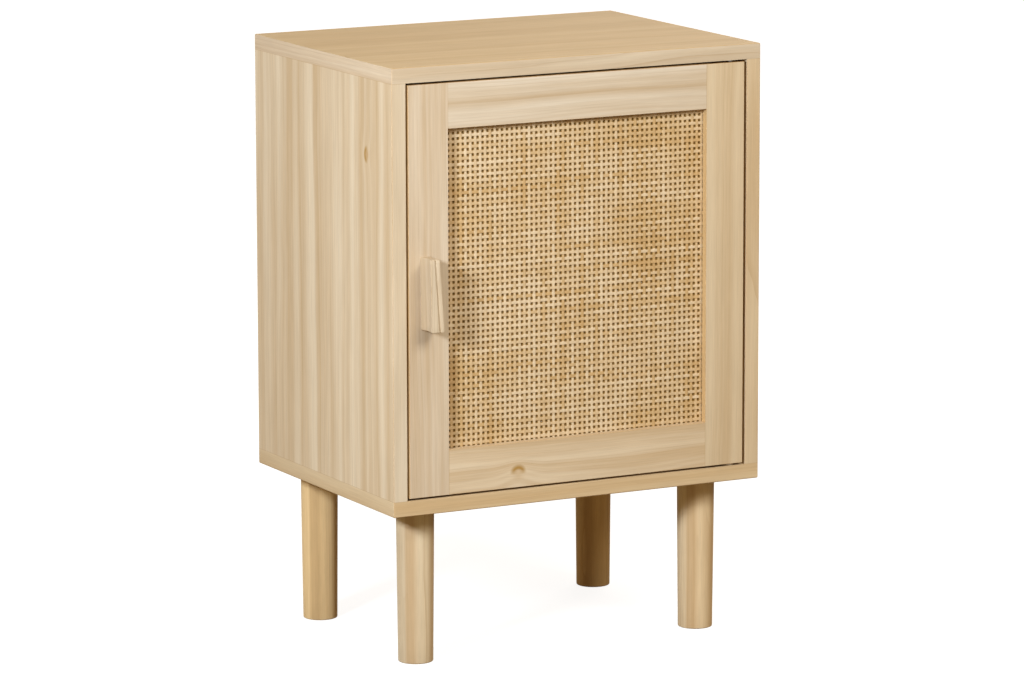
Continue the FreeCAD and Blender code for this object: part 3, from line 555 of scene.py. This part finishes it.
metals = {
    "plated steel": {
        "dark": linear(150, 150, 146),
        "light": linear(196, 196, 190),
        "roughness": 0.34,
        "cloudScale": 320.0,
        "pieces": [
            "cam_bolts",
            "leg_hanger_bolts",
            "catch_screws",
            "handle_screws",
            "strike_plate",
            "strike_screws",
            "upper_pivot_pin",
            "lower_pivot_pin",
            "back_panel_nails",
            "bead_nails",
        ],
    },
    "cast zinc": {
        "dark": linear(128, 128, 126),
        "light": linear(168, 168, 164),
        "roughness": 0.48,
        "cloudScale": 500.0,
        "pieces": ["cam_locks", "leg_insert_nuts"],
    },
    "bush brass": {
        "dark": linear(176, 140, 74),
        "light": linear(212, 176, 104),
        "roughness": 0.3,
        "cloudScale": 420.0,
        "pieces": ["upper_pivot_bush", "lower_pivot_bush"],
    },
}

plastics = {
    "magnet ferrite": {
        "dark": linear(40, 38, 36),
        "light": linear(58, 55, 52),
        "roughness": 0.5,
        "pieces": ["catch_magnet"],
    },
    "catch plastic": {
        "dark": linear(222, 216, 202),
        "light": linear(234, 229, 216),
        "roughness": 0.42,
        "pieces": ["catch_case"],
    },
    "washer nylon": {
        "dark": linear(226, 223, 214),
        "light": linear(238, 235, 228),
        "roughness": 0.38,
        "pieces": ["lower_pivot_washer"],
    },
}
plasticGrain = {"noise": (900.0, 2.0), "bumpStrength": 0.2, "bumpDistance": 0.00005}


def metalMaterial(name, look):
    material, w, shader = newMaterial(name, look["roughness"])
    place = w.add("ShaderNodeTexCoord").outputs["Object"]
    cloud = w.stretch(w.noise(place, look["cloudScale"], 3.0, 0.6))
    w.feed(shader.inputs["Base Color"], w.blend(cloud, look["dark"], look["light"]))
    w.feed(shader.inputs["Metallic"], 1.0)
    return material


def plasticMaterial(name, look):
    material, w, shader = newMaterial(name, look["roughness"])
    place = w.add("ShaderNodeTexCoord").outputs["Object"]
    speck = w.noise(place, *plasticGrain["noise"])
    w.feed(shader.inputs["Base Color"], w.blend(w.stretch(speck), look["dark"], look["light"]))
    w.feed(shader.inputs["Normal"], w.bump(speck, plasticGrain))
    return material


for looks, makeMaterial in ((metals, metalMaterial), (plastics, plasticMaterial)):
    for name, look in looks.items():
        material = makeMaterial(name, look)
        for piece in look["pieces"]:
            coat(nodes[piece], material)
print("fittings finished")

# turned legs


def meshObject(name, mesh, material, sharpAngle):
    mesh.materials.append(material)
    mesh.shade_smooth()
    mesh.set_sharp_from_angle(angle=math.radians(sharpAngle))
    item = bpy.data.objects.new(name, mesh)
    scene.collection.objects.link(item)
    return item


def bridge(shape, rings):
    # faces between each ring of corners and the next, where a ring may be a single point
    for lower, upper in zip(rings, rings[1:]):
        sides = max(len(lower), len(upper))
        for step in range(sides):
            after = (step + 1) % sides
            corners = [lower[step % len(lower)], lower[after % len(lower)]]
            corners += [upper[after % len(upper)], upper[step % len(upper)]]
            shape.faces.new(list(dict.fromkeys(corners)))


def closedMesh(shape, name):
    bmesh.ops.recalc_face_normals(shape, faces=shape.faces)
    mesh = bpy.data.meshes.new(name)
    shape.to_mesh(mesh)
    shape.free()
    return mesh


def quarterTurn(steps):
    # the sine and the cosine at each step round a right angle
    angles = [math.radians(90 * step / steps) for step in range(steps + 1)]
    return [(math.sin(angle), math.cos(angle)) for angle in angles]


def turn(name, outline, centre, sides):
    # spins an outline of (radius, height) points about a vertical line
    shape = bmesh.new()
    rings = []
    for radius, height in outline:
        ring = []
        for step in range(sides if radius > 0 else 1):
            angle = math.tau * step / sides
            x = centre[0] + radius * math.cos(angle)
            y = centre[1] + radius * math.sin(angle)
            ring.append(shape.verts.new((x, y, height)))
        rings.append(ring)
    bridge(shape, rings)
    return closedMesh(shape, name)


legs = {
    "footEase": 0.0012,
    "easeSteps": 5,
    "shaftSteps": 8,
    "sides": 96,
    "sharpAngle": 35,
    "footZone": (0.0005, 0.002),  # the heights between which the foot's radius is measured
    "sharedLook": {"grain": "z", "bandDepth": 0.6, "lineDepth": 0.5, "mottle": 0.05},
    "looks": {
        "leg_front_left": {
            "heart": (0.018, 0.012),
            "seed": 13.2,
            "tone": (0.94, 0.98, 1.00),
        },
        "leg_front_right": {
            "heart": (-0.012, 0.03),
            "seed": 14.8,
            "tilt": 0.12,
            "tone": (0.98, 0.96, 0.89),
        },
        "leg_back_left": {
            "heart": (0.022, -0.01),
            "seed": 15.5,
            "tone": (1.17, 1.09, 0.86),
        },
        "leg_back_right": {
            "heart": (0.02, 0.016),
            "seed": 16.9,
            # painted shade: this leg is darker and more orange, for the shade under the cabinet
            "tone": (0.94, 0.82, 0.58),
        },
    },
}


def legOutline(footRadius, topRadius, height):
    ease = legs["footEase"]
    outline = [(0, 0), (footRadius - ease * 4, 0)]
    for sine, cosine in quarterTurn(legs["easeSteps"]):
        outline.append((footRadius - ease + ease * sine, ease - ease * cosine))
    for step in range(1, legs["shaftSteps"] + 1):
        share = step / legs["shaftSteps"]
        outline.append((footRadius + (topRadius - footRadius) * share, ease + (height - ease) * share))
    return outline + [(0, height)]


def legRadii(name):
    # the widest places of the frame's leg, near its foot and at its top
    middle, size = boxOf(name)
    low, high = legs["footZone"]
    foot = 0
    for vertex in nodes[name].data.vertices:
        if low < vertex.co.z < high:
            foot = max(foot, math.hypot(vertex.co.x - middle.x, vertex.co.y - middle.y))
    return foot, size.x / 2


for name, look in legs["looks"].items():
    middle, size = boxOf(name)
    footRadius, topRadius = legRadii(name)
    outline = legOutline(footRadius, topRadius, size.z)
    look = {**legs["sharedLook"], **look}
    wood = pineMaterial("pine " + name.replace("_", " "), middle, size, look)
    mesh = turn(name, outline, middle, legs["sides"])
    leg = meshObject(name + "_turned", mesh, wood, legs["sharpAngle"])
    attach(leg, "cabinet")
    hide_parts(name)
print("legs turned")

# the pull

pull = {
    "coveDepth": 0.0024,  # the finger hollow down its left side
    "fluteWidth": 0.0056,  # the shallow channel down its nose
    "fluteDepth": 0.0009,
    "fluteWall": 0.0014,
    "footLean": 0.001,  # it leans and widens a little towards the foot
    "footWidth": 0.014,
    "headWidth": 0.010,
    "fluteHollow": 0.0003,
    "fluteLip": 0.0004,
    "noseEase": 0.0006,
    "ease": 0.0009,
    "easeSteps": 3,
    "fluteSteps": 5,
    "coveSteps": 10,
    "levels": 12,
    "backZone": 0.001,  # what lies this near the door keeps its full size
    "sharpAngle": 28,
    "look": {
        "grain": "z",
        "heart": (0.02, 0.03),
        "seed": 17.3,
        "lineDepth": 0.4,
        "endDepth": 0.1,
        "spacing": 0.003,
        "tone": (0.80, 0.83, 0.88),
        "arrisShadeDepth": 0.2,
    },
}


def pullOutline(share, low, high):
    # the outline at one level, share 0 at the foot and 1 at the head, seen from above: its right
    # side, the hollow flute in its nose, its eased left corner and the cove for the fingers
    left = low.x + pull["footLean"] * (1 - share)
    width = pull["footWidth"] + (pull["headWidth"] - pull["footWidth"]) * share
    right = left + width
    nose = low.y
    base = high.y
    fluteLeft = right - pull["fluteWidth"]
    lip, noseEase = pull["fluteLip"], pull["noseEase"]
    outline = [(right, base), (right, (nose + base) / 2), (right, nose + noseEase / 2)]
    outline.append((right - noseEase, nose))
    floorX = fluteLeft + pull["fluteWall"]
    floorY = nose + pull["fluteDepth"]
    for step in range(1, pull["fluteSteps"] + 1):
        part = step / pull["fluteSteps"]
        hollow = math.sin(part * math.pi) * pull["fluteHollow"]
        x = right - noseEase + (floorX - right + noseEase) * part
        outline.append((x, nose + (floorY - nose) * part - hollow))
    outline.append((fluteLeft + lip / 4, nose + lip))
    outline.append((fluteLeft - lip, nose))
    ease = pull["ease"]
    for sine, cosine in quarterTurn(pull["easeSteps"]):
        outline.append((left + ease - ease * sine, nose + ease - ease * cosine))
    for step in range(1, pull["coveSteps"] + 1):
        part = step / pull["coveSteps"]
        y = nose + ease + (base - nose - ease) * part
        outline.append((left + pull["coveDepth"] * math.sin(part * math.pi), y))
    return outline


def buildPull():
    low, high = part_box("handle")
    height = high.z - low.z
    ease = pull["ease"]
    corner = quarterTurn(pull["easeSteps"])
    # heights from the foot, and how far the outline is drawn in at each
    levels = [(ease - ease * cosine, ease - ease * sine) for sine, cosine in corner]
    for step in range(1, pull["levels"]):
        levels.append((ease + (height - 2 * ease) * step / pull["levels"], 0))
    levels += [(height - ease + ease * sine, ease - ease * cosine) for sine, cosine in corner]
    shape = bmesh.new()
    rings = []
    for level, inset in levels:
        ring = []
        points = pullOutline(level / height, low, high)
        middleX = (points[0][0] + points[-1][0]) / 2
        for x, y in points:
            # the ends are eased towards the nose, never at the face on the door
            pullIn = inset if y < high.y - pull["backZone"] else 0
            x += math.copysign(min(pullIn, abs(middleX - x)), middleX - x)
            y = min(y + pullIn, high.y)
            ring.append(shape.verts.new((x, y, low.z + level)))
        rings.append(ring)
    bridge(shape, rings)
    shape.faces.new(rings[0])
    shape.faces.new(rings[-1])
    middle, size = boxOf("handle")
    wood = pineMaterial("pine pull", middle, size, pull["look"])
    return meshObject("pull", closedMesh(shape, "pull"), wood, pull["sharpAngle"])


pullObject = buildPull()
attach(pullObject, "door")
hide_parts("handle")
print("pull carved")

# woven cane

cane = {
    "acrossPitch": 0.00525,
    "upPitch": 0.0055,
    "uprightCount": 56,
    "levelCount": 58,
    "uprightWidth": 0.0045,
    "levelWidth": 0.00465,
    "thickness": 0.0003,
    "crimp": 0.00006,  # how far a strand rises and dips at a crossing
    "wander": 0.00012,  # how far it strays sideways
    "wanderScale": 60.0,
    "swell": 0.25,  # how much its width changes
    "swellScale": 110.0,
    "stepsPerCrossing": 4,
    # the brown rim beside the openings is partly the cane's darker edge, partly painted shade of the
    # openings
    "rimAndShadeStart": 0.5,  # the brown rim, as a share of half the width
    "rimAndShadeFull": 0.6,
    "rimDepth": 0.92,
    "besideRange": (0.3, -0.3),
    "patchShare": 0.4,  # what makes a strand darker: patches along it, its own tone, clouds
    "ownShare": 0.2,
    "cloudShare": 0.5,
    "cloudNoise": (13.0, 3.0, 0.55),
    "strawRange": (0.44, 0.66),
    "tanRange": (0.64, 0.95),
    "patchStep": 1.7,
    "patchAlong": 9.0,
    "patchNoise": (1.0, 2.0, 0.6),
    "patchSeed": 0.3,
    "toneSeed": 31.0,
    "fibreStep": 3.0,
    "fibreAlong": 90.0,
    "fibreNoise": (2.0, 2.0),
    "fibreGrit": (0.9, 1.06),
    "driftStep": 2.3,
    "swellStep": 5.1,
    "swellSeed": 7.0,
    "roughness": 0.55,
    "gloss": 0.3,
    "cream": linear(220, 200, 169),
    "straw": linear(199, 168, 121),
    "tan": linear(177, 135, 79),
    # the colour of that brown rim, partly painted shade of the openings
    "edge": linear(136, 99, 30),
}


def caneMaterial(name, along, middle, crossPitch, crossCount):
    material, w, shader = newMaterial(name, cane["roughness"], cane["gloss"])
    place = w.add("ShaderNodeTexCoord").outputs["Object"]
    strand = w.add("ShaderNodeAttribute", attribute_name="strand").outputs["Fac"]
    axes = w.add("ShaderNodeSeparateXYZ", {0: place}).outputs
    lengthwise = axes[along]
    patchAcross = w.calc("MULTIPLY", strand, cane["patchStep"])
    patchAlong = w.calc("MULTIPLY", lengthwise, cane["patchAlong"])
    patchPlace = w.vector(patchAcross, patchAlong, cane["patchSeed"] + along)
    patch = w.noise(patchPlace, *cane["patchNoise"])
    ownTone = w.add("ShaderNodeTexWhiteNoise", noise_dimensions="1D")
    w.feed(ownTone.inputs["W"], w.calc("ADD", strand, cane["toneSeed"] + along))
    cloud = w.noise(place, *cane["cloudNoise"])
    mixed = w.calc("MULTIPLY", patch, cane["patchShare"])
    mixed = w.calc("ADD", mixed, w.calc("MULTIPLY", ownTone.outputs[0], cane["ownShare"]))
    mixed = w.calc("ADD", mixed, w.calc("MULTIPLY", cloud, cane["cloudShare"]))
    colour = w.blend(w.spread(mixed, *cane["strawRange"]), cane["cream"], cane["straw"])
    colour = w.blend(w.spread(mixed, *cane["tanRange"]), colour, cane["tan"])
    # the strand's edges are browner where an opening lies beside them: partly the cane's own darker edge,
    # partly painted shade that widens the dark openings
    edge = w.add("ShaderNodeAttribute", attribute_name="edge").outputs["Fac"]
    crossing = w.calc("DIVIDE", w.calc("SUBTRACT", lengthwise, middle), crossPitch)
    crossing = w.calc("ADD", crossing, (crossCount - 1) / 2)
    wave = w.calc("COSINE", w.calc("MULTIPLY", crossing, math.tau))
    beside = w.spread(wave, *cane["besideRange"])
    rimAndShade = w.calc("MULTIPLY", beside, w.spread(edge, cane["rimAndShadeStart"], cane["rimAndShadeFull"]))
    colour = w.blend(w.calc("MULTIPLY", rimAndShade, cane["rimDepth"]), colour, cane["edge"])
    fibreAcross = w.calc("MULTIPLY", strand, cane["fibreStep"])
    fibreAlong = w.calc("MULTIPLY", lengthwise, cane["fibreAlong"])
    fibrePlace = w.vector(fibreAcross, fibreAlong, axes[2 - along])
    fibre = w.noise(fibrePlace, *cane["fibreNoise"])
    grit = w.stretch(fibre, *cane["fibreGrit"])
    colour = w.blend(1.0, colour, w.vector(grit, grit, grit), "MULTIPLY")
    w.feed(shader.inputs["Base Color"], colour)
    return material


def layStrands(w, given, firstX):
    # flat strands side by side, each point marked with its strand's number and how near the edge it is
    rod = w.add(
        "GeometryNodeMeshCylinder",
        {"Vertices": 6, "Side Segments": given["Steps"], "Radius": 1.0, "Depth": given["Length"]},
        fill_type="NONE",
    )
    marked = w.store(rod.outputs["Mesh"], "edge", w.calc("ABSOLUTE", w.position()[0]))
    # a rod of six sides is 2 wide and 1.732 thick before it is pressed flat
    thin = w.calc("MULTIPLY", given["Thickness"], 0.577)
    flat = w.vector(w.calc("MULTIPLY", given["Width"], 0.5), thin, 1.0)
    strip = w.add("GeometryNodeTransform", {"Geometry": marked, "Scale": flat})
    row = w.add(
        "GeometryNodeMeshLine",
        {
            "Count": given["Count"],
            "Start Location": w.vector(firstX, 0.0, 0.0),
            "Offset": w.vector(given["Pitch"], 0.0, 0.0),
        },
    )
    named = w.store(row.outputs[0], "strand", w.add("GeometryNodeInputIndex").outputs[0])
    laid = w.add("GeometryNodeInstanceOnPoints", {"Points": named, "Instance": strip.outputs[0]})
    return w.add("GeometryNodeRealizeInstances", {"Geometry": laid.outputs[0]}).outputs[0]


def bendStrands(w, given, firstX, strands):
    # over and under the strands that cross them, with a little drift sideways and change of width
    strand = w.add("GeometryNodeInputNamedAttribute", {"Name": "strand"}, data_type="FLOAT").outputs[0]
    axes = w.position()
    middleX = w.calc("ADD", firstX, w.calc("MULTIPLY", strand, given["Pitch"]))
    fromMiddle = w.calc("SUBTRACT", axes[0], middleX)
    halfCrossings = w.calc("MULTIPLY", w.calc("SUBTRACT", given["Crossing Count"], 1), 0.5)
    crossing = w.calc("ADD", w.calc("DIVIDE", axes[2], given["Crossing Pitch"]), halfCrossings)
    wave = w.calc("COSINE", w.calc("MULTIPLY", crossing, math.pi))
    parity = w.calc("COSINE", w.calc("MULTIPLY", strand, math.pi))
    height = w.calc("MULTIPLY", given["Crimp"], given["Side"])
    lift = w.calc("MULTIPLY", w.calc("MULTIPLY", wave, parity), height)
    driftAlong = w.calc("MULTIPLY", axes[2], given["Wander Scale"])
    driftPlace = w.vector(driftAlong, w.calc("MULTIPLY", strand, cane["driftStep"]), given["Seed"])
    # a noise stays within about a third of its middle
    drift = w.calc("SUBTRACT", w.noise(driftPlace, 1.0, 1.0), 0.5)
    drift = w.calc("MULTIPLY", drift, w.calc("MULTIPLY", given["Wander"], 3.0))
    swellAlong = w.calc("MULTIPLY", axes[2], given["Swell Scale"])
    swellAcross = w.calc("MULTIPLY", strand, cane["swellStep"])
    swellPlace = w.vector(swellAlong, swellAcross, w.calc("ADD", given["Seed"], cane["swellSeed"]))
    swell = w.calc("SUBTRACT", w.noise(swellPlace, 1.0, 1.0), 0.5)
    swell = w.calc("MULTIPLY", swell, given["Swell"])
    sideways = w.calc("ADD", drift, w.calc("MULTIPLY", fromMiddle, swell))
    offset = w.vector(sideways, lift, 0.0)
    return w.add("GeometryNodeSetPosition", {"Geometry": strands, "Offset": offset}).outputs[0]


def buildStrandTree():
    # one layer of the weave, laid flat and bent, then put in its place
    tree = bpy.data.node_groups.new("caneStrands", "GeometryNodeTree")
    for name, kind in (
        ("Length", "Float"),
        ("Count", "Int"),
        ("Pitch", "Float"),
        ("Width", "Float"),
        ("Thickness", "Float"),
        ("Crossing Pitch", "Float"),
        ("Crossing Count", "Int"),
        ("Steps", "Int"),
        ("Crimp", "Float"),
        ("Side", "Float"),
        ("Wander", "Float"),
        ("Wander Scale", "Float"),
        ("Swell", "Float"),
        ("Swell Scale", "Float"),
        ("Seed", "Float"),
        ("Centre", "Vector"),
        ("Turn", "Vector"),
        ("Finish", "Material"),
    ):
        tree.interface.new_socket(name, in_out="INPUT", socket_type="NodeSocket" + kind)
    tree.interface.new_socket("Geometry", in_out="OUTPUT", socket_type="NodeSocketGeometry")
    w = Wiring(tree)
    given = w.add("NodeGroupInput").outputs
    last = w.calc("SUBTRACT", given["Count"], 1)
    firstX = w.calc("MULTIPLY", w.calc("MULTIPLY", last, given["Pitch"]), -0.5)
    bent = bendStrands(w, given, firstX, layStrands(w, given, firstX))
    put = w.add(
        "GeometryNodeTransform",
        {"Geometry": bent, "Translation": given["Centre"], "Rotation": given["Turn"]},
    )
    smooth = w.add("GeometryNodeSetShadeSmooth", {"Geometry": put.outputs[0]})
    whole = w.add("GeometryNodeRealizeInstances", {"Geometry": smooth.outputs[0]})
    finish = w.add("GeometryNodeSetMaterial", {"Geometry": whole.outputs[0], "Material": given["Finish"]})
    w.add("NodeGroupOutput", {0: finish.outputs[0]})
    return tree


def grow(name, tree, values):
    # runs a geometry tree with these inputs and keeps the result as a plain mesh
    holder = bpy.data.objects.new(name + " source", bpy.data.meshes.new(name + " source"))
    scene.collection.objects.link(holder)
    modifier = holder.modifiers.new("tree", "NODES")
    modifier.node_group = tree
    for socket in tree.interface.items_tree:
        if socket.in_out == "INPUT" and socket.name in values:
            modifier[socket.identifier] = values[socket.name]
    bpy.context.view_layer.update()
    shown = holder.evaluated_get(bpy.context.evaluated_depsgraph_get())
    mesh = bpy.data.meshes.new_from_object(shown)
    mesh.name = name
    holder.modifiers.clear()
    bpy.data.objects.remove(holder)
    item = bpy.data.objects.new(name, mesh)
    scene.collection.objects.link(item)
    return item


caneMiddle, caneSize = boxOf("cane_panel")
strandTree = buildStrandTree()
sharedCane = {
    "Thickness": cane["thickness"],
    "Crimp": cane["crimp"],
    "Wander": cane["wander"],
    "Wander Scale": cane["wanderScale"],
    "Swell": cane["swell"],
    "Swell Scale": cane["swellScale"],
    "Centre": tuple(caneMiddle),
}
uprightFinish = caneMaterial("cane upright strands", 2, caneMiddle.z, cane["upPitch"], cane["levelCount"])
levelFinish = caneMaterial("cane level strands", 0, caneMiddle.x, cane["acrossPitch"], cane["uprightCount"])
caneUprights = grow(
    "cane_uprights",
    strandTree,
    {
        **sharedCane,
        "Length": caneSize.z,
        "Count": cane["uprightCount"],
        "Pitch": cane["acrossPitch"],
        "Width": cane["uprightWidth"],
        "Crossing Pitch": cane["upPitch"],
        "Crossing Count": cane["levelCount"],
        "Steps": round(caneSize.z / cane["upPitch"] * cane["stepsPerCrossing"]),
        "Side": 1.0,
        "Seed": 4.0,
        "Turn": (0.0, 0.0, 0.0),
        "Finish": uprightFinish,
    },
)
caneLevels = grow(
    "cane_levels",
    strandTree,
    {
        **sharedCane,
        "Length": caneSize.x,
        "Count": cane["levelCount"],
        "Pitch": cane["upPitch"],
        "Width": cane["levelWidth"],
        "Crossing Pitch": cane["acrossPitch"],
        "Crossing Count": cane["uprightCount"],
        "Steps": round(caneSize.x / cane["acrossPitch"] * cane["stepsPerCrossing"]),
        "Side": 1.0 if cane["levelCount"] % 2 == 0 else -1.0,  # opposite to the uprights at each crossing
        "Seed": 11.0,
        "Turn": (0.0, math.radians(90), 0.0),
        "Finish": levelFinish,
    },
)
for strands in (caneUprights, caneLevels):
    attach(strands, "door")
    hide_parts("cane_panel")
print("cane woven:", len(caneUprights.data.polygons) + len(caneLevels.data.polygons), "faces")

# camera

view = {
    "azimuth": -27.8797,
    "elevation": 10.2846,
    "roll": -0.1126,
    "distance": 5.42216,
    "target": (0.006263, 0.011, 0.286308),
    "lens": 193.434,
    "sensor": 36,
    "clip": (0.1, 60),
}


def awayFrom(azimuth, elevation):
    # the direction from the table towards a camera or lamp, in degrees
    azimuth, elevation = math.radians(azimuth), math.radians(elevation)
    level = math.cos(elevation)
    return Vector((math.sin(azimuth) * level, -math.cos(azimuth) * level, math.sin(elevation)))


def placeCamera():
    data = bpy.data.cameras.new("camera")
    item = bpy.data.objects.new("camera", data)
    scene.collection.objects.link(item)
    back = awayFrom(view["azimuth"], view["elevation"])
    roll = math.radians(view["roll"])
    across = Vector((0, 0, 1)).cross(back).normalized()
    up = back.cross(across)
    turnedAcross = across * math.cos(roll) + up * math.sin(roll)
    turnedUp = up * math.cos(roll) - across * math.sin(roll)
    facing = Matrix((turnedAcross, turnedUp, back)).transposed()
    place = Vector(view["target"]) + back * view["distance"]
    item.matrix_world = Matrix.Translation(place) @ facing.to_4x4()
    data.lens = view["lens"]
    data.sensor_width = view["sensor"]
    data.clip_start, data.clip_end = view["clip"]
    scene.camera = item


placeCamera()
print("camera placed")

# floor, world and lamps

stageSet = {
    "floorShade": (0.23, 0.17, 0.08),  # what light that bounces meets
    "floorGlow": 0.88,
    "floorNear": 0.32,
    "floorReach": 14,
    "whiteFrom": 0.35,
    "whiteAt": 1.1,
    "lampAim": 0.3,
    "worldStrength": 0.345,
    "worldTint": (1.00, 0.72, 0.42),
    "lamps": {
        "key": {
            "azimuth": -59,
            "elevation": 20,
            "distance": 1.9,
            "size": (0.28, 0.28),
            "power": 28.9,
            "tint": (0.87, 0.93, 1.00),
        },
        "front": {
            "azimuth": 13,
            "elevation": 36,
            "distance": 2.5,
            "size": (0.9, 0.9),
            "power": 33.0,
            "tint": (1.00, 0.98, 0.91),
        },
        "left": {
            "azimuth": -100,
            "elevation": 18,
            "distance": 2.4,
            "size": (1.2, 1.2),
            "power": 0.8,
            "tint": (1.00, 0.90, 0.70),
        },
        "rear": {
            "azimuth": 138,
            "elevation": 30,
            "distance": 2.4,
            "size": (1.2, 1.2),
            "power": 11.5,
            "tint": (1.00, 0.98, 0.95),
        },
    },
}


def seenDirectly(w):
    # 1 for rays from the camera and for sharp or clear reflections
    paths = w.add("ShaderNodeLightPath").outputs
    seen = w.calc("MAXIMUM", paths["Is Camera Ray"], paths["Is Glossy Ray"])
    return w.calc("MAXIMUM", seen, paths["Is Transmission Ray"])


def buildFloor():
    mesh = bpy.data.meshes.new("floor")
    reach = stageSet["floorReach"]
    corners = [(-reach, -reach, 0), (reach, -reach, 0), (reach, reach, 0), (-reach, reach, 0)]
    mesh.from_pydata(corners, [], [(0, 1, 2, 3)])
    item = bpy.data.objects.new("floor", mesh)
    scene.collection.objects.link(item)
    material, w = emptyMaterial("studio floor")
    plain = w.add("ShaderNodeBsdfDiffuse", {"Color": (*stageSet["floorShade"], 1)})
    # seen directly the floor fades to plain white away from the table, and keeps its shadow near it
    place = w.add("ShaderNodeTexCoord").outputs["Object"]
    away = w.add("ShaderNodeVectorMath", {0: place}, operation="LENGTH").outputs["Value"]
    lift = w.spread(away, stageSet["whiteFrom"], stageSet["whiteAt"], stageSet["floorGlow"], 1.0)
    glow = w.add("ShaderNodeEmission", {"Color": (1, 1, 1, 1), "Strength": lift})
    near = stageSet["floorNear"]
    dimmed = w.add("ShaderNodeBsdfDiffuse", {"Color": (near, near, near, 1)})
    both = w.add("ShaderNodeAddShader", {0: glow.outputs[0], 1: dimmed.outputs[0]})
    mixed = w.add("ShaderNodeMixShader", {0: seenDirectly(w), 1: plain.outputs[0], 2: both.outputs[0]})
    w.feed(w.add("ShaderNodeOutputMaterial").inputs[0], mixed.outputs[0])
    mesh.materials.append(material)


def buildWorld():
    world = bpy.data.worlds.new("studio")
    scene.world = world
    world.use_nodes = True
    world.node_tree.nodes.clear()
    w = Wiring(world.node_tree)
    tint, strength = stageSet["worldTint"], stageSet["worldStrength"]
    soft = w.add("ShaderNodeBackground", {"Color": (*tint, 1), "Strength": strength})
    white = w.add("ShaderNodeBackground", {"Color": (1, 1, 1, 1), "Strength": 1.0})
    mixed = w.add("ShaderNodeMixShader", {0: seenDirectly(w), 1: soft.outputs[0], 2: white.outputs[0]})
    w.feed(w.add("ShaderNodeOutputWorld").inputs[0], mixed.outputs[0])


def buildLamps():
    for name, lamp in stageSet["lamps"].items():
        data = bpy.data.lights.new(name, "AREA")
        data.shape = "RECTANGLE"
        data.size, data.size_y = lamp["size"]
        data.energy = lamp["power"]
        data.color = lamp["tint"]
        item = bpy.data.objects.new(name, data)
        scene.collection.objects.link(item)
        back = awayFrom(lamp["azimuth"], lamp["elevation"])
        item.location = Vector((0, 0, stageSet["lampAim"])) + back * lamp["distance"]
        item.rotation_euler = (-back).to_track_quat("-Z", "Y").to_euler()


buildFloor()
buildWorld()
buildLamps()
scene.view_settings.view_transform = "Standard"
print("studio ready")
